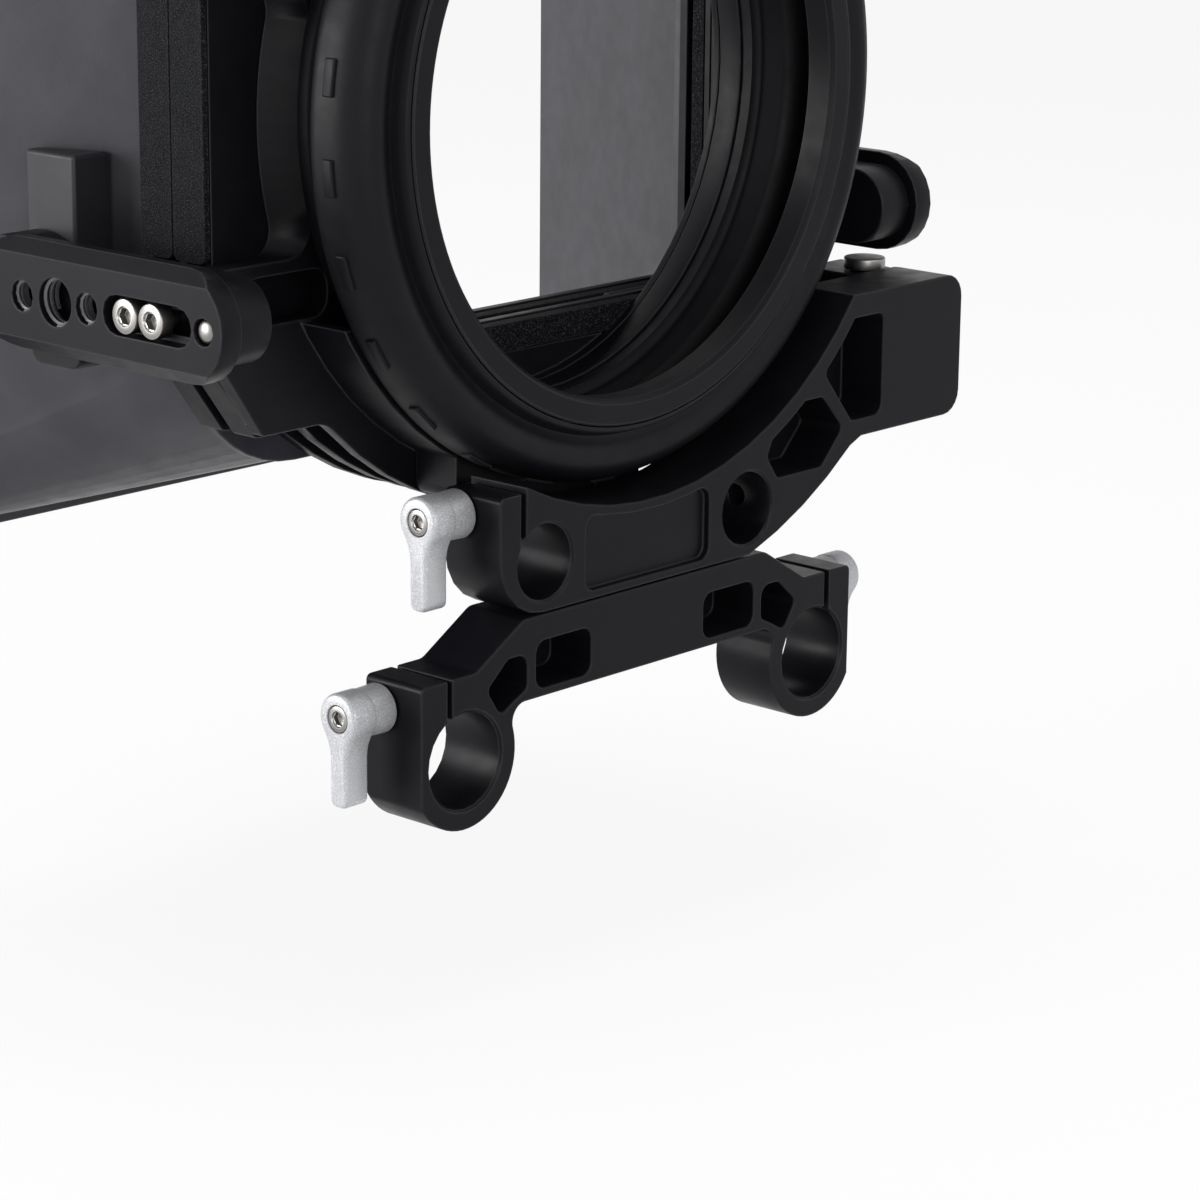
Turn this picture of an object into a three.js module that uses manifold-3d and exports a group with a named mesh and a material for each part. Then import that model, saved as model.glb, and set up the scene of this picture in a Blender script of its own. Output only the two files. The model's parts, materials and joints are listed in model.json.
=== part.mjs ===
// Matte box on 19 mm support rods: bridge, arc bracket, swing-away frame, bellows, two filter
// stages with trays, hood, side rails and accessory bars. Millimetres, +Z up, +Y to the scene.
// The origin lies midway between the two rod centres, on the rear face of the bridge.

import * as THREE from 'three';
import { mergeVertices } from 'three/addons/utils/BufferGeometryUtils.js';
import Module from 'manifold-3d';

const wasm = await Module();
wasm.setup();

// Shared sizes
const gap = 0.3; // running gap between neighbouring pieces
const over = 1; // how far a cut runs past the face it opens
const weldDistance = 0.0005;
const rodSpacing = 104;
const rodBore = 19.2;
const lightRodSpacing = 60;
const lightRodHeight = 35;
const lightRodBore = 15.1;
const opticalHeight = 120;
const bracketDepth = 15;
const ringSides = 56;
const boreSides = 24;
const smallSides = 12;
const smallRadius = 3.3;
const filletSides = 20;

// Bridge bracket
const bridgeTop = 24.8;
const bridgeEarInset = 1.8;
const bridgeEarTop = 16.9;
const bridgeShoulderInset = 3;
const bridgeShoulderRun = 13;
const bridgeShoulderRound = 3;
const bridgeEarRound = 1.2;
const bridgeBossRadius = 13.7;
const bridgeBeamBottom = 8.3;
const bridgeBeamRound = 3.5;
const bridgeSlitOffset = 4.3;
const slitWidth = 1.4;
const pocketFloor = 4;
const pocketRound = 1.6;
const bridgePocketInner = 16.8;
const bridgePocketWall = 2.5;
const bridgePocketBottom = 10;
const bridgePocketTop = 19.5;
const bridgePocketRound = 2.5;
const bridgeSidePocketInset = 5.9;
const bridgeSidePocketWidth = 11.1;
const bridgeSidePocketBottom = 7;
const bridgeSidePocketTop = 17.7;
const boreChamfer = 0.55;

// Arc bracket: heights of its curved part, arm and hinge are from the lens axis
const arcInnerRadius = 77.8;
const arcBand = 22;
const arcFootRight = 30.9;
const arcBossWall = 2.1;
const arcLeft = 42.6;
const arcLeftRound = 12;
const jawTop = 49.5;
const jawRound = 1.2;
const jawSlitLeft = 36.8;
const arcArmBottom = -75.8;
const arcArmTop = -45.5;
const arcArmEnd = 100;
const arcArmRound = 5;
const recessLeft = 18.6;
const recessRight = 18.1;
const recessBottom = 26.8;
const recessRadius = 79.9;
const recessDepth = 1.7;
const recessRound = 2.6;
const arcPocketLeft = 36;
const arcPocketRight = 60.3;
const arcPocketRib = 3.4;
const armPocketTip = 54;
const armPocketLeft = 63.3;
const armPocketRight = 73.1;
const armPocketRound = 2.5;
const armPocketBottom = -72;
const armPocketTop = -50.5;
const crossHoleDiameter = 4.5;
const crossHoleDepth = 9.6;

// Screws that join the bridge and the arc
const bridgeScrewX = 9;
const bridgeScrewDiameter = 5;
const bridgeScrewHead = 8.5;
const bridgeScrewHeadHeight = 5;
const bridgeScrewReach = 32.8;
const bridgeScrewSocket = 4;
const bridgeScrewSocketDepth = 2.5;

// Clamp levers
const leverDepthPlace = 11;
const bridgeLeverHeight = 11.1;
const arcLeverHeight = 45.1;
const leverLength = 11.1;
const leverSeatRadius = 4.7;
const leverFaceRadius = 4.2;
const leverHeadRadius = 4.9;
const leverArmReach = 17.5;
const leverArmWidth = 4.4;
const leverArmThickness = 5.8;
const leverEdge = 0.7;
const leverTipRound = 1.6;
const leverScrewHead = 5.2;
const leverScrewSink = 3;
const leverScrewHeight = 2.6;
const leverScrewSocket = 2.5;
const leverScrewSocketDepth = 1.4;
const leverStudDiameter = 3;
const leverStudReach = 15;

// Swing hinge at the right end of the arc, and the locating pin at its middle
const hingeX = 94;
const hingeDepth = 22;
const hingeKnuckleRadius = 6.6;
const hingeKnuckleBottom = -66.5;
const hingeKnuckleTop = -55.5;
const hingePinDiameter = 6;
const hingePinHead = 9;
const hingePinHeadHeight = 2.5;
const hingeWasherDiameter = 11;
const hingeWasherThickness = 1;
const hingeLugHeight = 7;
const hingePlateEdge = 7.6;
const hingePlateBottomX = 80;
const hingePlateInnerX = 66;
const hingePlateInnerZ = -60;
const locatorX = -10;
const locatorHeight = 33.5;
const locatorDiameter = 5;
const locatorEngagement = 3;
const locatorPlay = 0.7;

// Rear frame
const frameRear = 29.5;
const frameThickness = 5.5;
const frameRim = 3;
const frameInset = 1.2;
const frameRadius = 82.8;
const frameBore = 60;
const frameHalfWidth = 88;
const frameCornerX = 75.9;
const frameCornerZ = -57.7;
const frameCornerTopZ = -40;
const frameArmRound = 7;
const frameCornerRound = 1.5;
const frameArmTop = -25.1;
const framePocketRound = 5.5;
const framePocketWall = 66;
const frameSlotBottom = -36.8;
const frameSlotTop = -27.7;
const frameSlotInner = 59;
const frameSlotOuter = 80;
const frameSlotRound = 3.5;
const framePocketFrontWall = 71.5;
const framePocketFrontRound = 5;
const collarRadius = 75.8;
const collarThickness = 2.6;
const collarRear = 17.9;
const collarSide = 36;
const collarTop = -37.5;

// Bellows and lens ring
const lensRingInner = 57.6;
const lensRingWidth = 5.2;
const lensRingRear = 2.8;
const lensRingDepth = 6.6;
const lensRingLip = 1;
const bellowsRear = 3.2;
const bellowsBulge = 12.3;

// Latch block at the bottom of the frame
const latchLeft = 36;
const latchRight = 17;
const latchRear = 18.2;
const latchStep = 44.5;
const latchFootLeft = 20;
const latchFootRear = 15.3;
const latchFootTop = 36.5;
const latchBottom = 29.5;
const latchRound = 3;
const latchWindowLeft = 4.6;
const latchWindowRight = 3.9;
const latchWindowBottom = 38.6;
const latchWindowTop = 44;
const latchWindowDepth = 6;
const latchButtonSink = 1;
const latchButtonDepth = 2.4;

// Filter stages and their trays
const stageRear = 35.3;
const stageThickness = 8.6;
const stageHalfWidth = 84.4;
const stageTop = 58;
const stageSlantX = 72.5;
const stageSlantBottom = -59.5;
const stageSlantTop = -43.5;
const stageNeckRadius = 79.5;
const stageFlangeRadius = 82.2;
const stageFlangeThickness = 3.3;
const stageGrooveThickness = 2.6;
const stageGrooveDepth = 1.5;
const stageWall = 1.5;
const stageCavityDepth = 5;
const stageCavityHalfWidth = 73;
const stageCavityBottom = -53.5;
const stripBottom = -25.1;
const stripTop = 42;
const stripThickness = 1.5;
const windowHalfWidth = 67.5;
const windowHalfHeight = 47.5;
const windowRound = 4;
const trayTop = 54;
const trayTabHalfWidth = 22;
const trayTabTop = 66;
const trayTabRound = 5;
const trayTabNarrowing = 4;
const trayLipDepth = 1.2;
const trayLipWidth = 1.5;

// Hood
const hoodFront = 124;
const hoodRearHalfWidth = 73.5;
const hoodRearHalfHeight = 71;
const hoodRearCorner = 28;
const hoodHalfHeight = 90.7;
const hoodCornerRadius = 9;
const hoodWall = 2.2;
const hoodFlangeDepth = 3;
const hoodFlangeHalfWidth = 69.5;
const hoodFlangeHalfHeight = 54;
const hoodFlangeCorner = 12;
const hoodLip = 1.3;
const hoodLipDepth = 3.5;
const hoodFanSides = 10;
const hoodBlockRear = 67.5;
const hoodBlockFront = 81.5;
const hoodBlockBottom = -30;
const hoodBlockTop = -8;

// Side rails and accessory bars
const railThickness = 8.9;
const railBottom = -40.4;
const railTop = -24.2;
const railRear = 13;
const railFront = 80;
const railShoulderTop = -22.8;
const railShoulderRear = 69;
const railShoulderRun = 5;
const railShoulderRound = 5;
const railTabRear = 56;
const railTabFront = 70;
const railTabBottom = -46;
const railTabRound = 2.5;
const railPadRear = 37;
const railPadFront = 52;
const railPadBottom = -39;
const railPadTop = -26;
const barThickness = 5;
const barCentreHeight = -32.3;
const barHeight = 21.2;
const barChamfer = 2.6;
const barRear = 11;
const barFront = 80;
const barSlotRear = 19.1;
const barSlotFront = 43;
const barSlotHeight = 7.4;
const barSlotDepth = 3.2;
const barSlotNarrow = 4.6;
const barScrewRear = 30;
const barScrewFront = 37.1;
const barScrewHead = 6.7;
const barScrewHeadHeight = 3;
const barScrewDiameter = 4;
const barScrewReach = 6;
const barScrewSocket = 3;
const barScrewSocketDepth = 1.8;
const barHoleRear = 47.6;
const barHoleMiddle = 56.4;
const barHoleFront = 65.8;
const smallThread = 6;
const largeThread = 9.2;
const barPinPlace = 16;
const barPinDiameter = 4.5;

const metal = (color, roughness, metalness) =>
  new THREE.MeshStandardMaterial({ color, roughness, metalness, flatShading: true });
const anodised = () => metal(0x1b1c1f, 0.48, 0.55);
const castGrey = () => metal(0xa9acb1, 0.42, 0.55);
const stainless = () => metal(0xc9c6c1, 0.28, 0.95);
const rubber = () => metal(0x1a1a1c, 0.5, 0);
const texturedGrey = () => metal(0x2e2f32, 0.75, 0.2);
const hoodBlack = () => metal(0x26272a, 0.5, 0.1);

const matteBox = new THREE.Group();
const opticalGroup = new THREE.Group();
opticalGroup.position.set(0, 0, opticalHeight);
matteBox.add(opticalGroup);

/** Adds one named mesh to a group and gives it back. */
function addPiece(parent, name, geometry, material) {
  const mesh = new THREE.Mesh(geometry, material);
  mesh.name = name;
  parent.add(mesh);
  return mesh;
}

/** Six times the signed volume of an indexed geometry: negative when its faces point in. */
function signedVolume(points, index) {
  let total = 0;
  const corner = (i) => new THREE.Vector3().fromArray(points, 3 * i);
  for (let i = 0; i < index.length; i += 3) {
    total += corner(index[i]).dot(corner(index[i + 1]).cross(corner(index[i + 2])));
  }
  return total;
}

/** A closed mesh as a solid, with shared vertices merged and its faces pointing out. */
function toSolid(geometry) {
  const bare = geometry.clone();
  bare.deleteAttribute('normal');
  bare.deleteAttribute('uv');
  const merged = mergeVertices(bare, weldDistance);
  const points = Float32Array.from(merged.attributes.position.array);
  const kept = [];
  const all = merged.index.array;
  for (let i = 0; i < all.length; i += 3) {
    const [a, b, c] = [all[i], all[i + 1], all[i + 2]];
    if (a !== b && b !== c && c !== a) kept.push(a, b, c);
  }
  if (signedVolume(points, kept) < 0) kept.reverse();
  return new wasm.Manifold(
    new wasm.Mesh({ numProp: 3, vertProperties: points, triVerts: Uint32Array.from(kept) }),
  );
}

/** A solid's surface as a geometry. */
function toGeometry(solid) {
  const mesh = solid.getMesh();
  const geometry = new THREE.BufferGeometry();
  geometry.setAttribute('position', new THREE.BufferAttribute(mesh.vertProperties, 3));
  geometry.setIndex(new THREE.BufferAttribute(mesh.triVerts, 1));
  return geometry;
}

/** The first solid with the others joined to it. */
const joined = (first, ...others) => others.reduce((sum, next) => sum.add(next), first);

/** The first solid with the others cut from it. */
const cut = (first, ...others) => others.reduce((rest, next) => rest.subtract(next), first);

/** Points of an arc in the plane, ends included. */
function arcPoints(centreX, centreY, radius, from, to, sides = ringSides) {
  const count = Math.max(1, Math.ceil((Math.abs(to - from) / (2 * Math.PI)) * sides));
  return Array.from({ length: count + 1 }, (_, i) => {
    const angle = from + ((to - from) * i) / count;
    return [centreX + radius * Math.cos(angle), centreY + radius * Math.sin(angle)];
  });
}

/** An outline from corners [x, y] or [x, y, fillet radius]. */
function outline(corners) {
  const points = [];
  corners.forEach(([x, y, radius = 0], i) => {
    if (radius === 0) {
      points.push(new THREE.Vector2(x, y));
      return;
    }
    const here = new THREE.Vector2(x, y);
    const before = new THREE.Vector2(...corners[(i + corners.length - 1) % corners.length]);
    const after = new THREE.Vector2(...corners[(i + 1) % corners.length]);
    const back = before.sub(here).normalize();
    const ahead = after.sub(here).normalize();
    const half = Math.acos(THREE.MathUtils.clamp(back.dot(ahead), -1, 1)) / 2;
    const centre = here.clone().add(
      back.clone().add(ahead).normalize().multiplyScalar(radius / Math.sin(half)),
    );
    const start = here.clone().addScaledVector(back, radius / Math.tan(half)).sub(centre);
    const end = here.clone().addScaledVector(ahead, radius / Math.tan(half)).sub(centre);
    const from = start.angle();
    let turn = end.angle() - from;
    if (turn > Math.PI) turn -= 2 * Math.PI;
    if (turn < -Math.PI) turn += 2 * Math.PI;
    arcPoints(centre.x, centre.y, radius, from, from + turn, filletSides).forEach(([px, py]) => {
      points.push(new THREE.Vector2(px, py));
    });
  });
  return new THREE.Shape(points);
}

/** The corners with x mirrored, in the order that keeps the outline's sense. */
const mirrored = (corners) => corners.map(([x, ...rest]) => [-x, ...rest]).reverse();

/** A rectangle's corners, each rounded by the same radius. */
const rectangle = (x0, x1, y0, y1, radius = 0) => [
  [x0, y0, radius], [x1, y0, radius], [x1, y1, radius], [x0, y1, radius],
];

/** An (x, z) outline run along Y. */
function alongY(shape, y0, y1) {
  const geometry = new THREE.ExtrudeGeometry(shape, { depth: y1 - y0, bevelEnabled: false });
  geometry.rotateX(Math.PI / 2);
  geometry.translate(0, y1, 0);
  return toSolid(geometry);
}

/** A (y, z) outline run along X. */
function alongX(shape, x0, x1) {
  const geometry = new THREE.ExtrudeGeometry(shape, { depth: x1 - x0, bevelEnabled: false });
  geometry.applyMatrix4(new THREE.Matrix4().makeBasis(
    new THREE.Vector3(0, 1, 0), new THREE.Vector3(0, 0, 1), new THREE.Vector3(1, 0, 0),
  ));
  geometry.translate(x0, 0, 0);
  return toSolid(geometry);
}

/** An (x, y) outline run along Z. */
function alongZ(shape, z0, z1) {
  const geometry = new THREE.ExtrudeGeometry(shape, { depth: z1 - z0, bevelEnabled: false });
  geometry.translate(0, 0, z0);
  return toSolid(geometry);
}

/** A cylinder or cone along one axis from one end to the other. */
function rod(axis, place, from, to, radius, endRadius = radius, faces = 0) {
  const sides = faces || (Math.max(radius, endRadius) > smallRadius ? boreSides : smallSides);
  const geometry = new THREE.CylinderGeometry(endRadius, radius, to - from, sides);
  geometry.translate(0, (from + to) / 2, 0);
  if (axis === 'x') {
    geometry.rotateZ(-Math.PI / 2);
    geometry.translate(0, place[0], place[1]);
  } else if (axis === 'y') {
    geometry.translate(place[0], 0, place[1]);
  } else {
    geometry.rotateX(Math.PI / 2);
    geometry.translate(place[0], place[1], 0);
  }
  return toSolid(geometry);
}

/** A closed (radius, y) profile turned about the Y axis. */
function turned(profile, sides = ringSides) {
  const points = profile.map(([radius, y]) => new THREE.Vector2(radius, y));
  points.push(points[0].clone());
  return toSolid(new THREE.LatheGeometry(points, sides));
}

/** A solid box between two corners. */
function block(x0, x1, y0, y1, z0, z1) {
  const geometry = new THREE.BoxGeometry(x1 - x0, y1 - y0, z1 - z0);
  geometry.translate((x0 + x1) / 2, (y0 + y1) / 2, (z0 + z1) / 2);
  return toSolid(geometry);
}

/** A bore along Y through a bracket, with a chamfer at its rear mouth. */
function chamferedBore(x, z, diameter, depth) {
  const radius = diameter / 2;
  const mouth = radius + boreChamfer + over;
  return joined(
    rod('y', [x, z], -over, depth + over, radius),
    rod('y', [x, z], -over, boreChamfer, mouth, radius),
  );
}

// Bridge bracket: a low beam between two split bosses that grip the 19 mm rods
const rodX = rodSpacing / 2;
const bridgeHalfWidth = rodX + bridgeBossRadius - bridgeEarInset;
const bridgeShoulderEnd = rodX - bridgeShoulderInset;
const bridgeShoulderX = bridgeShoulderEnd - bridgeShoulderRun;
const bridgeSlitX = rodX + bridgeSlitOffset;
const bridgeSidePocketOuter = rodX - bridgeSidePocketInset;
const bridgeSidePocketInner = bridgeSidePocketOuter - bridgeSidePocketWidth;
const bridgePocketOuter = bridgeSidePocketInner - bridgePocketWall;
const circleHeight = (radius, x) => Math.sqrt(radius ** 2 - x ** 2);
const bossMeetsEar = Math.atan2(
  -circleHeight(bridgeBossRadius, bridgeHalfWidth - rodX), bridgeHalfWidth - rodX,
);
const beamRoundDrop = bridgeBeamBottom - bridgeBeamRound;
const beamRoundAngle = Math.asin(beamRoundDrop / (bridgeBossRadius + bridgeBeamRound));
const beamRoundX = rodX - circleHeight(bridgeBossRadius + bridgeBeamRound, beamRoundDrop);

function makeBridge() {
  const rightHalf = [
    ...arcPoints(beamRoundX, beamRoundDrop, bridgeBeamRound, Math.PI / 2, -beamRoundAngle),
    ...arcPoints(rodX, 0, bridgeBossRadius, Math.PI - beamRoundAngle, 2 * Math.PI + bossMeetsEar),
    [bridgeHalfWidth, bridgeEarTop, bridgeEarRound],
    [bridgeShoulderEnd, bridgeEarTop, bridgeShoulderRound],
    [bridgeShoulderX, bridgeTop, bridgeShoulderRound],
  ];
  const body = alongY(outline([...rightHalf, ...mirrored(rightHalf)]), 0, bracketDepth);
  const cuts = [];
  for (const side of [-1, 1]) {
    const pick = (corners) => outline(side > 0 ? corners : mirrored(corners));
    cuts.push(chamferedBore(side * rodX, 0, rodBore, bracketDepth));
    cuts.push(alongY(pick(rectangle(
      bridgeSlitX - slitWidth / 2, bridgeSlitX + slitWidth / 2, rodBore / 4, bridgeEarTop + over,
    )), -over, bracketDepth + over));
    cuts.push(alongY(pick(rectangle(
      bridgePocketInner, bridgePocketOuter, bridgePocketBottom, bridgePocketTop, bridgePocketRound,
    )), -over, bracketDepth - pocketFloor));
    const [x0, x1] = [bridgeSidePocketInner, bridgeSidePocketOuter];
    const [z0, z1] = [bridgeSidePocketBottom, bridgeSidePocketTop];
    const shares = { low: 0.4, step: 0.36, out: 0.66, up: 0.53, top: 0.48 };
    cuts.push(alongY(pick([
      [x0, z0 + shares.step * (z1 - z0), pocketRound],
      [x0 + shares.low * (x1 - x0), z0 + (shares.step - shares.low / 2) * (z1 - z0), pocketRound / 2],
      [x0 + shares.out * (x1 - x0), z0, pocketRound],
      [x1, z0 + shares.up * (z1 - z0), pocketRound],
      [x0 + shares.top * (x1 - x0), z1, pocketRound],
      [x0, z1, bridgePocketRound],
    ]), -over, bracketDepth - pocketFloor));
    const screwPlace = [side * bridgeScrewX, bracketDepth / 2];
    cuts.push(rod('z', screwPlace, bridgeBeamBottom - over, bridgeTop + over,
      bridgeScrewDiameter / 2 + gap));
    cuts.push(rod('z', screwPlace, bridgeBeamBottom - over,
      bridgeBeamBottom + bridgeScrewHeadHeight + gap, bridgeScrewHead / 2 + gap));
    const studIn = bridgeHalfWidth - leverStudReach - gap;
    const studOut = bridgeHalfWidth + over;
    cuts.push(rod('x', [leverDepthPlace, bridgeLeverHeight], side > 0 ? studIn : -studOut,
      side > 0 ? studOut : -studIn, leverStudDiameter / 2 + gap));
  }
  return cut(body, ...cuts);
}
addPiece(matteBox, 'bridge_bracket', toGeometry(makeBridge()), anodised());

// Arc bracket: curved about the lens axis, with two 15 mm bores, the left one a split jaw
const arcBottom = bridgeTop + gap;
const arcOuterRadius = arcInnerRadius + arcBand;
const lightRodX = lightRodSpacing / 2;

/** The angle about the lens axis at which a circle has the given x or height. */
const angleAtX = (radius, x) => -Math.acos(x / radius);
const angleAtHeight = (radius, height) => Math.asin(height / radius);
/** A corner given from the lens axis, in the bracket's own heights. */
const fromRods = ([x, height, ...rest]) => [x, opticalHeight + height, ...rest];

function makeArc() {
  const slitRight = -jawSlitLeft + slitWidth;
  const profile = alongY(outline([
    [-arcLeft, arcBottom, arcLeftRound],
    [arcFootRight, arcBottom],
    ...arcPoints(0, opticalHeight, arcOuterRadius, angleAtX(arcOuterRadius, arcFootRight + gap),
      angleAtHeight(arcOuterRadius, arcArmBottom) - arcArmRound / 2 / arcOuterRadius),
    fromRods([arcArmEnd - arcArmEnd / 3, arcArmBottom]),
    fromRods([arcArmEnd, arcArmBottom, arcArmRound]),
    fromRods([arcArmEnd, arcArmTop, arcArmRound]),
    ...arcPoints(0, opticalHeight, arcInnerRadius, angleAtHeight(arcInnerRadius, arcArmTop),
      angleAtX(arcInnerRadius, slitRight)),
    [slitRight, jawTop - jawRound],
    [-jawSlitLeft, jawTop - jawRound],
    [-jawSlitLeft, jawTop],
    [-arcLeft, jawTop, jawRound],
  ]), 0, bracketDepth);
  const boss = rod('y', [lightRodX, lightRodHeight], 0, bracketDepth,
    lightRodBore / 2 + arcBossWall);
  const body = joined(profile, boss);
  const cuts = [
    chamferedBore(-lightRodX, lightRodHeight, lightRodBore, bracketDepth),
    chamferedBore(lightRodX, lightRodHeight, lightRodBore, bracketDepth),
    alongY(outline(rectangle(-jawSlitLeft, slitRight, lightRodHeight, jawTop + over)),
      -over, bracketDepth + over),
    rod('x', [leverDepthPlace, arcLeverHeight], -arcLeft - over,
      -arcLeft + leverStudReach + gap, leverStudDiameter / 2 + gap),
    rod('x', [crossHoleDepth, lightRodHeight], lightRodX, arcOuterRadius, crossHoleDiameter / 2),
  ];
  cuts.push(alongY(outline([
    [-recessLeft, recessBottom, recessRound],
    [recessRight, recessBottom, recessRound],
    [recessRight, opticalHeight - circleHeight(recessRadius, recessRight), recessRound],
    ...arcPoints(0, opticalHeight, recessRadius,
      angleAtX(recessRadius, recessRight - recessRound * 2),
      angleAtX(recessRadius, recessRound * 2 - recessLeft)),
    [-recessLeft, opticalHeight - circleHeight(recessRadius, recessLeft), recessRound],
  ]), -over, recessDepth));
  const ribbed = arcInnerRadius + arcPocketRib;
  const pocketEnd = arcPocketRight - arcPocketRib * 2;
  const below = (radius, x) => -circleHeight(radius, x);
  const pocketTop = below(ribbed + arcPocketRib, pocketEnd);
  cuts.push(alongY(outline([
    [arcPocketLeft, below(ribbed + pocketRound * 1.4, arcPocketLeft), pocketRound],
    [arcPocketLeft + arcPocketRib, below(arcOuterRadius - arcPocketRib, pocketEnd), pocketRound],
    [pocketEnd, below(arcOuterRadius - arcPocketRib, pocketEnd), pocketRound],
    [arcPocketRight, below(arcOuterRadius - arcPocketRib * 1.5, arcPocketRight), pocketRound],
    [pocketEnd, pocketTop, pocketRound],
    ...arcPoints(0, 0, ribbed, angleAtHeight(ribbed, pocketTop),
      angleAtX(ribbed, arcPocketLeft + pocketRound)),
  ].map(fromRods)), -over, bracketDepth - pocketFloor));
  cuts.push(alongY(outline([
    [armPocketTip, below(ribbed, armPocketTip), pocketRound],
    [armPocketLeft, armPocketBottom, pocketRound],
    [armPocketRight, armPocketBottom, armPocketRound],
    [armPocketRight, armPocketTop, pocketRound],
    ...arcPoints(0, 0, ribbed, angleAtHeight(ribbed, armPocketTop),
      angleAtX(ribbed, armPocketTip + pocketRound * 2)),
  ].map(fromRods)), -over, bracketDepth - pocketFloor));
  for (const side of [-1, 1]) {
    cuts.push(rod('z', [side * bridgeScrewX, bracketDepth / 2], arcBottom - over,
      bridgeScrewReach + gap, bridgeScrewDiameter / 2 + gap));
  }
  cuts.push(rod('y', [locatorX, locatorHeight], bracketDepth - locatorEngagement - gap,
    bracketDepth + over, locatorDiameter / 2 + locatorPlay));
  return joined(cut(body, ...cuts), makeKnuckle());
}

/** The arc's half of the hinge: a knuckle in front of the arm, on a short web. */
function makeKnuckle() {
  const bottom = opticalHeight + hingeKnuckleBottom;
  const top = opticalHeight + hingeKnuckleTop;
  const web = alongZ(outline(rectangle(
    hingeX - hingeKnuckleRadius, arcArmEnd, bracketDepth - over, hingeDepth,
  )), bottom, top);
  const barrel = rod('z', [hingeX, hingeDepth], bottom, top, hingeKnuckleRadius);
  const bore = rod('z', [hingeX, hingeDepth], bottom - over, top + over,
    hingePinDiameter / 2 + gap);
  return cut(joined(web, barrel), bore);
}
addPiece(matteBox, 'arc_bracket', toGeometry(makeArc()), anodised());

/** A socket-head screw along Z with its head at the bottom or the top. */
function socketScrew(headDiameter, headHeight, diameter, reach, socket, socketDepth, headUp) {
  const sign = headUp ? 1 : -1;
  const head = sign > 0 ? [0, headHeight] : [-headHeight, 0];
  const shank = sign > 0 ? [-reach, 0] : [0, reach];
  const hex = sign > 0 ? [headHeight - socketDepth, headHeight + over]
    : [-headHeight - over, socketDepth - headHeight];
  return cut(
    joined(rod('z', [0, 0], ...head, headDiameter / 2), rod('z', [0, 0], ...shank, diameter / 2)),
    rod('z', [0, 0], ...hex, socket / 2 / Math.cos(Math.PI / 6), undefined, 6),
  );
}

// Two screws from below the bridge up into the arc
for (const [side, name] of [[-1, 'left'], [1, 'right']]) {
  const headTop = bridgeBeamBottom + bridgeScrewHeadHeight;
  const screw = addPiece(matteBox, `bridge_screw_${name}`, toGeometry(socketScrew(
    bridgeScrewHead, bridgeScrewHeadHeight, bridgeScrewDiameter, bridgeScrewReach - headTop,
    bridgeScrewSocket, bridgeScrewSocketDepth, false,
  )), stainless());
  screw.position.set(side * bridgeScrewX, bracketDepth / 2, headTop);
}

// Clamp lever: a cast handle, held on its threaded stud by a socket-head screw
function makeLeverHandle() {
  const boss = rod('x', [0, 0], 0, leverLength - leverEdge, leverSeatRadius, leverFaceRadius);
  const head = rod('x', [0, 0], leverLength - leverArmThickness, leverLength - leverEdge,
    leverHeadRadius);
  const half = leverArmWidth / 2;
  const waistShares = { spread: 0.82, drop: 0.58, neck: 1.45 };
  const armSide = [
    [half, -leverArmReach, leverTipRound],
    [half, -leverHeadRadius * waistShares.neck, leverTipRound],
    [leverHeadRadius * waistShares.spread, -leverHeadRadius * waistShares.drop],
    [leverHeadRadius * waistShares.spread / 2, 0],
  ];
  const arm = alongX(outline([...armSide, ...mirrored(armSide)]),
    leverLength - leverArmThickness, leverLength - leverEdge);
  const capSide = armSide.map(([y, z, r = 0]) => [
    y - leverEdge * Math.sign(y) / 2, z === 0 ? z : z + leverEdge / 2, Math.max(0, r - leverEdge / 2)]);
  const cap = joined(
    alongX(outline([...capSide, ...mirrored(capSide)]), leverLength - leverEdge, leverLength),
    rod('x', [0, 0], leverLength - leverEdge, leverLength, leverHeadRadius - leverEdge / 2),
  );
  return cut(
    joined(boss, head, arm, cap),
    rod('x', [0, 0], leverLength - leverScrewSink, leverLength + over,
      leverScrewHead / 2 + gap / 2),
    rod('x', [0, 0], -over, leverLength, leverStudDiameter / 2 + gap),
  );
}

/** The stainless screw in the lever's face, with its shank and stud run into the bracket. */
function makeLeverScrew() {
  const headIn = leverLength - leverScrewSink + gap;
  return cut(
    joined(
      rod('x', [0, 0], headIn, headIn + leverScrewHeight, leverScrewHead / 2),
      rod('x', [0, 0], -leverStudReach, headIn, leverStudDiameter / 2),
    ),
    rod('x', [0, 0], headIn + leverScrewHeight - leverScrewSocketDepth,
      headIn + leverScrewHeight + over, leverScrewSocket / 2 / Math.cos(Math.PI / 6), undefined, 6),
  );
}

const leverPlaces = [
  ['lever_bridge_left', -1, bridgeHalfWidth, bridgeLeverHeight],
  ['lever_bridge_right', 1, bridgeHalfWidth, bridgeLeverHeight],
  ['lever_arc', -1, arcLeft, arcLeverHeight],
];
for (const [name, side, face, height] of leverPlaces) {
  const lever = new THREE.Group();
  lever.position.set(side * (face + gap), leverDepthPlace, height);
  if (side < 0) lever.rotation.z = Math.PI;
  addPiece(lever, `${name}_handle`, toGeometry(makeLeverHandle()), castGrey());
  addPiece(lever, `${name}_screw`, toGeometry(makeLeverScrew()), stainless());
  matteBox.add(lever);
}
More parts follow.
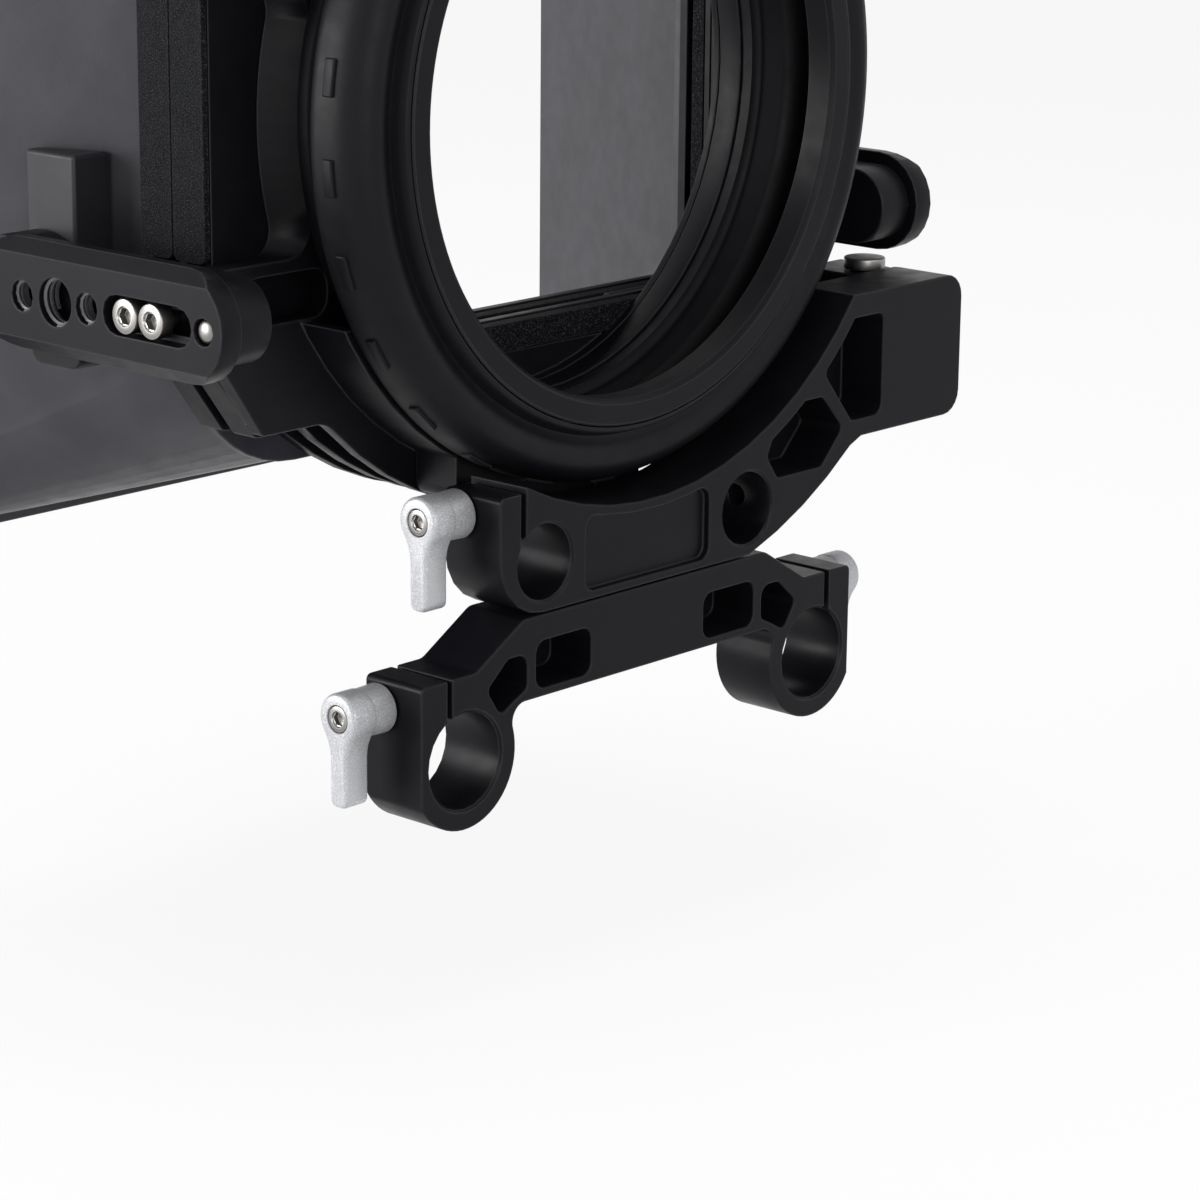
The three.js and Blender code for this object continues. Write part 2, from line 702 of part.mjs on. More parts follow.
/** A closed solid between two (x, z) outlines with as many points each, at two places on Y. */
function lofted(rearOutline, y0, frontOutline, y1) {
  const backward = THREE.ShapeUtils.isClockWise(frontOutline.map(([x, y]) => ({ x, y })));
  const ordered = (points) => (backward ? [...points].reverse() : points);
  const rearPoints = ordered(rearOutline);
  const frontPoints = ordered(frontOutline);
  const count = rearPoints.length;
  const positions = [];
  rearPoints.forEach(([x, z]) => positions.push(x, y0, z));
  frontPoints.forEach(([x, z]) => positions.push(x, y1, z));
  const index = [];
  for (let i = 0; i < count; i += 1) {
    const next = (i + 1) % count;
    index.push(i, next, count + i, next, count + next, count + i);
  }
  for (const [points, first] of [[rearPoints, 0], [frontPoints, count]]) {
    const flat = points.map(([x, z]) => new THREE.Vector2(x, z));
    const caps = THREE.ShapeUtils.triangulateShape(flat, []);
    caps.forEach(([a, b, c]) => {
      index.push(...(first ? [first + a, first + b, first + c] : [c, b, a]));
    });
  }
  const geometry = new THREE.BufferGeometry();
  geometry.setAttribute('position', new THREE.Float32BufferAttribute(positions, 3));
  geometry.setIndex(index);
  return toSolid(geometry);
}

/** Evenly counted points of an arc, for outlines that are lofted to each other. */
function evenArc(centreX, centreZ, radius, from, to, count) {
  return Array.from({ length: count + 1 }, (_, i) => {
    const angle = from + ((to - from) * i) / count;
    return [centreX + radius * Math.cos(angle), centreZ + radius * Math.sin(angle)];
  });
}

// Rear frame: a ring with four slanted arms, bevelled side pockets and slots, and a collar
/** The frame's outline about the lens axis, drawn in by an inset. */
function frameOutline(inset) {
  const radius = frameRadius - inset;
  const armZ = frameCornerZ + inset;
  const half = frameHalfWidth - inset;
  const cornerX = frameCornerX - inset / 2;
  const filletZ = armZ - frameArmRound;
  const filletX = circleHeight(radius + frameArmRound, filletZ);
  const filletAngle = Math.atan2(-filletZ, -filletX);
  const ringAngle = Math.atan2(filletZ, filletX);
  const lowerRight = [
    ...arcPoints(0, 0, radius, -Math.PI / 2, ringAngle),
    ...arcPoints(filletX, filletZ, frameArmRound, filletAngle, Math.PI / 2).slice(1),
    [cornerX, armZ, frameCornerRound],
    [half, frameCornerTopZ, frameCornerRound],
    [half, 0],
  ];
  const upper = (corners) => corners.map(([x, z, ...rest]) => [x, -z, ...rest]).reverse();
  const right = [...lowerRight, ...upper(lowerRight).slice(1)];
  return outline([...right.slice(0, -1), ...mirrored(right).slice(0, -1)]);
}

/** One level of a side pocket, open to the side, with a wall that follows the ring. */
function pocketLevel(wallRadius, round) {
  const low = frameArmTop;
  const centreX = circleHeight(wallRadius + round, low + round);
  const angle = Math.atan2(low + round, centreX);
  return [
    [frameHalfWidth + over, low],
    ...evenArc(centreX, low + round, round, -Math.PI / 2, -Math.PI + angle, smallSides / 2),
    ...evenArc(0, 0, wallRadius, angle, -angle, smallSides).slice(1, -1),
    ...evenArc(centreX, -low - round, round, Math.PI - angle, Math.PI / 2, smallSides / 2),
    [frameHalfWidth + over, -low],
  ];
}

function makeRearFrame() {
  const rimFront = frameRear + frameRim;
  const front = frameRear + frameThickness;
  const plate = joined(
    alongY(frameOutline(0), frameRear, rimFront),
    alongY(frameOutline(frameInset), rimFront - over, front),
  );
  const cuts = [rod('y', [0, 0], frameRear - over, front + over, frameBore, frameBore, ringSides)];
  for (const side of [-1, 1]) {
    const flip = ([x, z]) => [side * x, z];
    cuts.push(lofted(
      pocketLevel(framePocketWall, framePocketRound).map(flip), frameRear - weldDistance,
      pocketLevel(framePocketFrontWall, framePocketFrontRound).map(flip), front + weldDistance,
    ));
    for (const level of [-1, 1]) {
      const [z0, z1] = [frameSlotBottom, frameSlotTop].map((z) => level * Math.abs(z));
      const slot = rectangle(frameSlotInner, frameSlotOuter, Math.min(z0, z1), Math.max(z0, z1),
        frameSlotRound);
      cuts.push(alongY(outline(side > 0 ? slot : mirrored(slot)), frameRear - over, front + over));
    }
  }
  let body = cut(plate, ...cuts);
  const collarInner = collarRadius - collarThickness;
  const collar = turned([
    [collarInner, collarRear], [collarRadius, collarRear],
    [collarRadius, frameRear + over], [collarInner, frameRear + over],
  ]);
  const reach = collarRadius + over;
  for (const side of [-1, 1]) {
    const x0 = side > 0 ? collarSide : -reach;
    const x1 = side > 0 ? reach : -collarSide;
    body = joined(body, collar.intersect(
      block(x0, x1, 0, frameRear + over, -reach, collarTop),
    ));
  }
  return joined(body, ...makeHingeLugs());
}

/** The frame's half of the hinge: two lugs on a plate that runs out from the lower right arm. */
function makeHingeLugs() {
  const front = frameRear + frameThickness;
  const washers = hingeWasherThickness + 2 * gap;
  const lowTop = hingeKnuckleBottom - washers;
  const highBottom = hingeKnuckleTop + washers;
  const bottom = lowTop - hingeLugHeight;
  const top = highBottom + hingeLugHeight;
  const edge = hingeX + hingePlateEdge;
  const plate = alongY(outline([
    [hingePlateInnerX, hingePlateInnerZ],
    [hingePlateBottomX, bottom],
    [edge, bottom, frameCornerRound],
    [edge, top, frameCornerRound],
    [hingePlateInnerX, top],
  ]), frameRear, front - frameInset);
  const lug = (z0, z1) => cut(
    joined(
      rod('z', [hingeX, hingeDepth], z0, z1, hingeKnuckleRadius),
      block(hingeX - hingeKnuckleRadius, hingeX + hingeKnuckleRadius, hingeDepth,
        frameRear + over, z0, z1),
    ),
    rod('z', [hingeX, hingeDepth], z0 - over, z1 + over, hingePinDiameter / 2 + gap),
  );
  return [plate, lug(bottom, lowTop), lug(highBottom, top)];
}
addPiece(opticalGroup, 'rear_frame', toGeometry(makeRearFrame()), anodised());

// Hinge pin with a head above the upper lug, and a thrust washer on each side of the knuckle
const lugOverhang = hingeWasherThickness + 2 * gap + hingeLugHeight;
function makeHingePin() {
  const top = hingeKnuckleTop + lugOverhang + gap;
  return joined(
    rod('z', [0, 0], hingeKnuckleBottom - lugOverhang, top, hingePinDiameter / 2),
    rod('z', [0, 0], top, top + hingePinHeadHeight, hingePinHead / 2),
  );
}
const hingePin = addPiece(opticalGroup, 'hinge_pin', toGeometry(makeHingePin()), stainless());
hingePin.position.set(hingeX, hingeDepth, 0);

const hingeWasher = () => cut(
  rod('z', [0, 0], 0, hingeWasherThickness, hingeWasherDiameter / 2),
  rod('z', [0, 0], -over, hingeWasherThickness + over, hingePinDiameter / 2 + gap),
);
for (const [name, z] of [
  ['hinge_washer_lower', hingeKnuckleBottom - gap - hingeWasherThickness],
  ['hinge_washer_upper', hingeKnuckleTop + gap],
]) {
  const washer = addPiece(opticalGroup, name, toGeometry(hingeWasher()), stainless());
  washer.position.set(hingeX, hingeDepth, z);
}

// Lens ring, and the bellows: a bead on the ring, a hollow bulge, a neck and a front flange
const lensRingOuter = lensRingInner + lensRingWidth;
addPiece(opticalGroup, 'lens_ring', toGeometry(turned([
  [lensRingInner, lensRingRear + lensRingLip],
  [lensRingInner + lensRingLip, lensRingRear],
  [lensRingOuter, lensRingRear],
  [lensRingOuter, lensRingRear + lensRingDepth],
  [lensRingInner, lensRingRear + lensRingDepth],
])), anodised());

const bellowsInner = lensRingOuter + gap;
const bellowsOuter = bellowsInner + bellowsBulge;
const bellowsFront = frameRear - gap;
const bulgeOutsideShares = [
  [0, 0], [0.089, 0.008], [0.171, 0.127], [0.301, 0.092], [0.561, 0.054], [0.821, 0.138],
  [0.967, 0.281], [1, 0.454], [0.98, 0.523], [0.79, 0.552],
];
const neckShares = [
  [0.519, 0.619], [0.325, 0.685], [0.325, 0.881], [0.422, 0.9], [0.422, 1], [0.039, 1],
  [0.039, 0.908], [0.175, 0.877], [0.175, 0.646], [0.455, 0.538],
];
const bulgeInsideShares = [
  [0.707, 0.48], [0.772, 0.319], [0.659, 0.2], [0.504, 0.154], [0.301, 0.2], [0.122, 0.235],
  [0, 0.208],
];
const bellowsPoint = (inner) => ([out, along]) => [
  inner + out * (bellowsOuter - inner), bellowsRear + along * (bellowsFront - bellowsRear),
];
addPiece(opticalGroup, 'bellows', toGeometry(turned([
  ...bulgeOutsideShares.map(bellowsPoint(bellowsInner)),
  ...neckShares.map(bellowsPoint(frameBore)),
  ...bulgeInsideShares.map(bellowsPoint(bellowsInner)),
])), rubber());

// Latch block below the ring, with its locating pin and release button
function makeLatchBlock() {
  const front = frameRear - gap;
  const topRadius = collarRadius - collarThickness + gap;
  const face = [
    [-latchLeft, latchStep, latchRound],
    [-latchFootLeft, latchStep],
    [-latchFootLeft, latchBottom, latchRound],
    [latchRight, latchBottom, latchRound],
    ...arcPoints(0, opticalHeight, topRadius, angleAtX(topRadius, latchRight),
      angleAtX(topRadius, -latchLeft)),
  ];
  const foot = rectangle(-latchFootLeft, latchRight, latchBottom, latchFootTop, latchRound);
  return cut(
    joined(
      alongY(outline(face), latchRear, front),
      alongY(outline(foot), latchFootRear, latchRear + over),
    ),
    block(-latchWindowLeft, latchWindowRight, latchRear - over, latchRear + latchWindowDepth,
      latchWindowBottom, latchWindowTop),
    rod('y', [locatorX, locatorHeight], latchFootRear - over, frameRear - 2 * over,
      locatorDiameter / 2 + gap),
  );
}
addPiece(matteBox, 'latch_block', toGeometry(makeLatchBlock()), anodised());
addPiece(matteBox, 'locating_pin', toGeometry(rod('y', [locatorX, locatorHeight],
  bracketDepth - locatorEngagement, frameRear - 2 * over - gap, locatorDiameter / 2)), stainless());
addPiece(matteBox, 'latch_button', toGeometry(block(
  -latchWindowLeft + gap, latchWindowRight - gap,
  latchRear + latchButtonSink, latchRear + latchButtonSink + latchButtonDepth,
  latchWindowBottom + gap, latchWindowTop - gap,
)), anodised());
// Filter stages: two box housings on round necks, each open at the top for its tray

/** The housing's outline about the lens axis, drawn in by an inset. */
function stageOutline(inset) {
  const half = stageHalfWidth - inset;
  const right = [
    [stageSlantX - inset, stageSlantBottom + inset / 2, frameCornerRound],
    [half, stageSlantTop, frameCornerRound],
    [half, stageTop, frameCornerRound],
  ];
  return outline([...right, ...mirrored(right)]);
}

function makeStage(rear, roundWall) {
  const front = rear + stageThickness;
  const groove = front - stageGrooveThickness;
  const neck = rod('y', [0, 0], rear, front, stageNeckRadius, stageNeckRadius, ringSides);
  const flange = rod('y', [0, 0], front - stageFlangeThickness, front, stageFlangeRadius,
    stageFlangeRadius, ringSides);
  const lowerOnly = block(-stageFlangeRadius - over, stageFlangeRadius + over, rear - over,
    front + over, -stageFlangeRadius - over, 0);
  const body = joined(
    alongY(stageOutline(0), rear, groove),
    alongY(stageOutline(stageGrooveDepth), groove - over, front),
    joined(neck, flange).intersect(lowerOnly),
  );
  const cavityRear = rear + stageWall;
  const opening = rectangle(-windowHalfWidth, windowHalfWidth, -windowHalfHeight,
    windowHalfHeight, windowRound);
  const cuts = [
    block(-stageCavityHalfWidth, stageCavityHalfWidth, cavityRear, cavityRear + stageCavityDepth,
      stageCavityBottom, stageTop + over),
    alongY(outline(opening), roundWall ? cavityRear : rear - over, front + over),
    rod('y', [0, 0], rear - over, cavityRear + over, frameBore, frameBore, ringSides),
  ];
  for (const side of [-1, 1]) {
    const x0 = side * (stageHalfWidth - stripThickness - gap);
    const x1 = side * (stageHalfWidth + over);
    cuts.push(block(Math.min(x0, x1), Math.max(x0, x1), rear - over, front + over,
      stripBottom - gap, stripTop + gap));
  }
  return cut(body, ...cuts);
}

/** A tray frame: a plate with a filter window, a lip round it, and a pull tab on top. */
function makeTray(rear) {
  const cavityRear = rear + stageWall;
  const y0 = cavityRear + gap;
  const y1 = cavityRear + stageCavityDepth - gap;
  const half = stageCavityHalfWidth - gap;
  const bottom = stageCavityBottom + gap;
  const tab = trayTabHalfWidth - trayTabNarrowing;
  const plate = alongY(outline([
    [-half, bottom, windowRound], [half, bottom, windowRound], [half, trayTop, windowRound],
    [trayTabHalfWidth, trayTop, windowRound], [tab, trayTabTop, trayTabRound],
    [-tab, trayTabTop, trayTabRound], [-trayTabHalfWidth, trayTop, windowRound],
    [-half, trayTop, windowRound],
  ]), y0, y1);
  const inner = rectangle(-windowHalfWidth, windowHalfWidth, -windowHalfHeight,
    windowHalfHeight, windowRound);
  const outer = rectangle(-windowHalfWidth - trayLipWidth, windowHalfWidth + trayLipWidth,
    -windowHalfHeight - trayLipWidth, windowHalfHeight + trayLipWidth, windowRound);
  return cut(
    plate,
    alongY(outline(inner), y0 - over, y1 + over),
    alongY(outline(outer), y1 - trayLipDepth, y1 + over),
  );
}

for (const [name, order] of [['rear', 0], ['front', 1]]) {
  const rear = stageRear + order * (stageThickness + gap);
  addPiece(opticalGroup, `${name}_stage`, toGeometry(makeStage(rear, order === 0)),
    anodised());
  addPiece(opticalGroup, `${name}_tray`, toGeometry(makeTray(rear)), texturedGrey());
  for (const [sideName, side] of [['left', -1], ['right', 1]]) {
    const x0 = side * (stageHalfWidth - stripThickness);
    const x1 = side * stageHalfWidth;
    const strip = rectangle(rear, rear + stageThickness, stripBottom,
      stripTop, frameCornerRound);
    addPiece(opticalGroup, `${name}_stage_strip_${sideName}`,
      toGeometry(alongX(outline(strip), Math.min(x0, x1), Math.max(x0, x1))), texturedGrey());
  }
}

// Hood: widely rounded corners at the rear narrow to tight ones at the front, in a fan of flats
const hoodRear = stageRear + 2 * stageThickness + 2 * gap;
const railInner = frameHalfWidth + gap;
const railOuter = railInner + railThickness;
const barInner = railOuter + gap;
const barOuter = barInner + barThickness;
const hoodHalfWidth = barOuter;
const hoodBlockOuter = railInner - gap;

/** Four rounded corners of one end of the hood. */
function hoodEnd(halfWidth, halfHeight, radius) {
  return [[1, 1], [-1, 1], [-1, -1], [1, -1]].flatMap(([signX, signZ], quarter) => evenArc(
    signX * (halfWidth - radius), signZ * (halfHeight - radius), radius,
    (quarter * Math.PI) / 2, ((quarter + 1) * Math.PI) / 2, hoodFanSides,
  ));
}

/** The hood's loft between its flange and its lip, drawn in or out by an offset. */
const hoodLoft = (offset, reach) => lofted(
  hoodEnd(hoodRearHalfWidth + offset, hoodRearHalfHeight + offset, hoodRearCorner + offset),
  hoodRear + hoodFlangeDepth - reach,
  hoodEnd(hoodHalfWidth + offset, hoodHalfHeight + offset, hoodCornerRadius + offset),
  hoodFront + reach,
);

function makeHood() {
  const lip = hoodEnd(hoodHalfWidth + hoodLip, hoodHalfHeight + hoodLip,
    hoodCornerRadius + hoodLip).map(([x, z]) => [x, z]);
  const lipInner = hoodEnd(hoodHalfWidth - hoodWall, hoodHalfHeight - hoodWall,
    hoodCornerRadius - hoodWall);
  const shell = cut(hoodLoft(0, 0), hoodLoft(-hoodWall, weldDistance));
  const rim = cut(
    alongY(outline(lip), hoodFront - hoodLipDepth, hoodFront),
    alongY(outline(lipInner), hoodFront - hoodLipDepth - over, hoodFront + over),
  );
  const flange = cut(
    alongY(outline(hoodEnd(hoodRearHalfWidth, hoodRearHalfHeight, hoodRearCorner)), hoodRear,
      hoodRear + hoodFlangeDepth + weldDistance),
    alongY(outline(hoodEnd(hoodFlangeHalfWidth, hoodFlangeHalfHeight, hoodFlangeCorner)),
      hoodRear - over, hoodRear + hoodFlangeDepth + over),
  );
  return joined(shell, flange, cut(rim, hoodLoft(-hoodWall, weldDistance)));
}
addPiece(opticalGroup, 'hood', toGeometry(makeHood()), hoodBlack());

for (const [sideName, side] of [['left', -1], ['right', 1]]) {
  const raw = block(Math.min(0, side * hoodBlockOuter), Math.max(0, side * hoodBlockOuter),
    hoodBlockRear, hoodBlockFront, hoodBlockBottom, hoodBlockTop);
  addPiece(opticalGroup, `hood_block_${sideName}`,
    toGeometry(cut(raw, hoodLoft(gap, 0))), anodised());
}

// Side rails: each bolted to the stages through a pad, with a raised front and a lower tab
const railMiddle = (railBottom + railTop) / 2;

function makeRail(side) {
  const round = (railTop - railBottom) / 2;
  const profile = outline([
    [railFront, railBottom, railTabRound],
    [railFront, railShoulderTop, railTabRound],
    [railShoulderRear + railShoulderRun, railShoulderTop, railShoulderRound],
    [railShoulderRear, railTop],
    ...arcPoints(railRear + round, railMiddle, round, Math.PI / 2, (3 * Math.PI) / 2),
    [railTabRear, railBottom],
    [railTabRear, railTabBottom, railTabRound],
    [railTabFront, railTabBottom, railTabRound],
    [railTabFront, railBottom],
  ]);
  const span = (inner, outer) => (side > 0 ? [inner, outer] : [-outer, -inner]);
  const pad = outline(rectangle(railPadRear, railPadFront, railPadBottom,
    railPadTop, railTabRound));
  const cuts = [barScrewRear, barScrewFront].map((y) => rod('x', [y, barCentreHeight],
    ...span(railOuter - barScrewReach - gap, railOuter + over), barScrewDiameter / 2 + gap));
  return cut(
    joined(
      alongX(profile, ...span(railInner, railOuter)),
      alongX(pad, ...span(stageHalfWidth + gap, railInner + over)),
    ),
    ...cuts,
  );
}

// Accessory bars: chamfered and slotted, with three threaded holes and a pin at the rear end
function makeBar(side) {
  const inner = barInner;
  const centre = barCentreHeight;
  const half = barHeight / 2;
  const span = (from, to) => (side > 0 ? [from, to] : [-to, -from]);
  const capsule = outline([
    ...arcPoints(barFront - half, centre, half, -Math.PI / 2, Math.PI / 2, boreSides),
    ...arcPoints(barRear + half, centre, half, Math.PI / 2, (3 * Math.PI) / 2, boreSides),
  ]);
  const section = new THREE.Shape([
    [inner, centre - half], [barOuter - barChamfer, centre - half],
    [barOuter, centre - half + barChamfer], [barOuter, centre + half - barChamfer],
    [barOuter - barChamfer, centre + half], [inner, centre + half],
  ].map(([x, z]) => new THREE.Vector2(side * x, z)));
  const body = alongY(section, barRear, barFront)
    .intersect(alongX(capsule, ...span(inner - over, barOuter + over)));
  const slot = (y0, y1, height) => {
    const radius = height / 2;
    return outline([
      ...arcPoints(y1 - radius, centre, radius, -Math.PI / 2, Math.PI / 2, smallSides),
      ...arcPoints(y0 + radius, centre, radius, Math.PI / 2, (3 * Math.PI) / 2, smallSides),
    ]);
  };
  const step = (barSlotHeight - barSlotNarrow) / 2;
  const threads = [[barHoleRear, smallThread], [barHoleMiddle, largeThread],
    [barHoleFront, smallThread]];
  return cut(
    body,
    alongX(slot(barSlotRear, barSlotFront, barSlotHeight),
      ...span(barOuter - barSlotDepth, barOuter + over)),
    alongX(slot(barSlotRear + step, barSlotFront - step, barSlotNarrow),
      ...span(inner - over, barOuter)),
    rod('x', [barPinPlace, centre], ...span(inner - over, barOuter + over),
      barPinDiameter / 2 + gap),
    ...threads.map(([y, diameter]) => rod('x', [y, centre],
      ...span(inner - over, barOuter + over), diameter / 2)),
  );
}

/** A socket-head screw along X that holds a bar to its rail. */
function makeBarScrew() {
  const seat = barOuter - barSlotDepth + gap;
  const hexRadius = barScrewSocket / 2 / Math.cos(Math.PI / 6);
  return cut(
    joined(
      rod('x', [0, 0], seat, seat + barScrewHeadHeight, barScrewHead / 2),
      rod('x', [0, 0], railOuter - barScrewReach, seat, barScrewDiameter / 2),
    ),
    rod('x', [0, 0], seat + barScrewHeadHeight - barScrewSocketDepth,
      seat + barScrewHeadHeight + over, hexRadius, hexRadius, 6),
  );
}

for (const [sideName, side] of [['left', -1], ['right', 1]]) {
  addPiece(opticalGroup, `side_rail_${sideName}`, toGeometry(makeRail(side)), anodised());
  addPiece(opticalGroup, `accessory_bar_${sideName}`, toGeometry(makeBar(side)), anodised());
  const centre = barCentreHeight;
  for (const [place, y] of [['rear', barScrewRear], ['front', barScrewFront]]) {
    const screw = addPiece(opticalGroup, `bar_screw_${sideName}_${place}`,
      toGeometry(makeBarScrew()), stainless());
    screw.position.set(0, y, centre);
    if (side < 0) screw.rotation.z = Math.PI;
  }
  const [x0, x1] = [railOuter + 2 * gap, barOuter - gap / 2];
  const pin = addPiece(opticalGroup, `bar_pin_${sideName}`, toGeometry(rod('x', [0, 0],
    side > 0 ? x0 : -x1, side > 0 ? x1 : -x0, barPinDiameter / 2)), stainless());
  pin.position.set(0, barPinPlace, centre);
}

export default matteBox;
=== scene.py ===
"""Looks of a swing-away matte box on its bridge bracket.

Every sub-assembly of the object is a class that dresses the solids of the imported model: milled
pieces get broken edges and smooth curves, turned and moulded pieces are made anew, and each
surface gets its finish. Sizes are in millimetres in the classes and in metres in the meshes.
"""

from __future__ import annotations

import json
import logging
import math
from collections.abc import Sequence
from dataclasses import dataclass
from enum import Enum
from typing import ClassVar

import bmesh
import bpy
from mathutils import Matrix, Vector
from mathutils.geometry import delaunay_2d_cdt

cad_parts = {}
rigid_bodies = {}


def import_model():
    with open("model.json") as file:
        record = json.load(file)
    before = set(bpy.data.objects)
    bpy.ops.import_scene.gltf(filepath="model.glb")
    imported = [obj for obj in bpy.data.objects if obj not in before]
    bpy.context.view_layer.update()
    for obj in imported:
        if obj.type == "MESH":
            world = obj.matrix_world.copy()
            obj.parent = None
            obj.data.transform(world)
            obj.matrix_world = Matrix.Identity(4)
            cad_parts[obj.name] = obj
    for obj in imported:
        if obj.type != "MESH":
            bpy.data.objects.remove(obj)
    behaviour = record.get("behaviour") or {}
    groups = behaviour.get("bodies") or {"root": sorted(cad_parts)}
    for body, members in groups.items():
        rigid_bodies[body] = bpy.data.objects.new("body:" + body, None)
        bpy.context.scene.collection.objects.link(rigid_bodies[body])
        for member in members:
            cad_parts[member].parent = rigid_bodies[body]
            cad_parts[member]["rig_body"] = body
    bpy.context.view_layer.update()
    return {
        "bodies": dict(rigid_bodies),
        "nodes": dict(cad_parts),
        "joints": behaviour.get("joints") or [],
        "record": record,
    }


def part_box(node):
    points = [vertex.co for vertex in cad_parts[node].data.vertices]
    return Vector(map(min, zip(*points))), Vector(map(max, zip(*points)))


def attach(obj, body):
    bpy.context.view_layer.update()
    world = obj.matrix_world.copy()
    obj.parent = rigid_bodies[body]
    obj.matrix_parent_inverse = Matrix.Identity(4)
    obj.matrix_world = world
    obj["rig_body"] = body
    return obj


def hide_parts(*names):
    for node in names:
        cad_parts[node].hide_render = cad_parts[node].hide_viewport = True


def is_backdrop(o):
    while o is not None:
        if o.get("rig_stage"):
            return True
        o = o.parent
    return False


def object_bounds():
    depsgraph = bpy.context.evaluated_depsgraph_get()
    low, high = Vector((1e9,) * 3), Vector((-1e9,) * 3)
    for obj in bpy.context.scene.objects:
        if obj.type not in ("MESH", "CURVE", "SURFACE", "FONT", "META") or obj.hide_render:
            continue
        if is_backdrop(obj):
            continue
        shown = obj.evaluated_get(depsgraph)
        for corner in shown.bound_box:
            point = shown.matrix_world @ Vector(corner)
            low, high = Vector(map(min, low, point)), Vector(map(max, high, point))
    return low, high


LOG = logging.getLogger("matte_box")
MM = 0.001
NO_ANGLE = 9.0
SMOOTH = 40.0
SCREW_SMOOTH = 32.0

Profile = Sequence[tuple[float, float]]
Colour = tuple[float, float, float]
Mesh = bmesh.types.BMesh
Region = list[bmesh.types.BMFace]
Piece = bpy.types.Object
Socket = bpy.types.NodeSocket


class Slot(Enum):
    """The material slots of the record."""

    ANODISED = "black_anodised"
    CAST = "cast_grey"
    STEEL = "stainless"
    RUBBER = "black_rubber"
    TEXTURED = "textured_grey"
    HOOD = "hood_grey"


class Side(Enum):
    """The two sides of the object, as the sign of X."""

    LEFT = -1
    RIGHT = 1

    @property
    def word(self) -> str:
        """The side's name in the names of nodes and pieces."""
        return self.name.lower()


class Axis(Enum):
    """The axis that a turned piece is turned about."""

    X = 0
    Y = 1
    Z = 2


# Node trees


class NodeTree:
    """A node tree, built a node at a time."""

    def __init__(self, tree: bpy.types.NodeTree) -> None:
        """Keeps the tree that nodes are added to."""
        self.tree = tree

    def add(self, kind: str, settings: dict[str, object] | None = None,
            **sockets: object) -> bpy.types.Node:
        """Adds a node, sets its properties, and sets or links its sockets.

        Args:
            kind: The node's type name.
            settings: The node's properties by name.
            **sockets: Values or output sockets by input name, with _ for a space.

        Returns:
            The new node.
        """
        node = self.tree.nodes.new(kind)
        for name, value in (settings or {}).items():
            setattr(node, name, value)
        for name, value in sockets.items():
            self.feed(node.inputs[name.replace("_", " ")], value)
        return node

    def feed(self, socket: Socket, value: object) -> None:
        """Links an output to a socket, or sets the socket's own value.

        Args:
            socket: The input socket.
            value: A number, a colour, a material or an output socket.
        """
        if isinstance(value, Socket):
            self.tree.links.new(value, socket)
        else:
            socket.default_value = value

    def math(self, operation: str, first: object, second: object,
             kind: str = "ShaderNodeMath") -> Socket:
        """Works out one value from two, each a number or an output socket.

        Args:
            operation: The sum's type name.
            first: The first number or output socket.
            second: The second number or output socket.
            kind: The node's type name.

        Returns:
            The outcome.
        """
        node = self.add(kind, {"operation": operation})
        for socket, value in zip(node.inputs, (first, second)):
            self.feed(socket, value)
        return node.outputs["Value"]

    def seen(self) -> Socket:
        """A value that is 1 where the camera sees a thing, also in a mirror, and else 0."""
        path = self.add("ShaderNodeLightPath").outputs
        return self.math("MAXIMUM", path["Is Camera Ray"], path["Is Glossy Ray"])


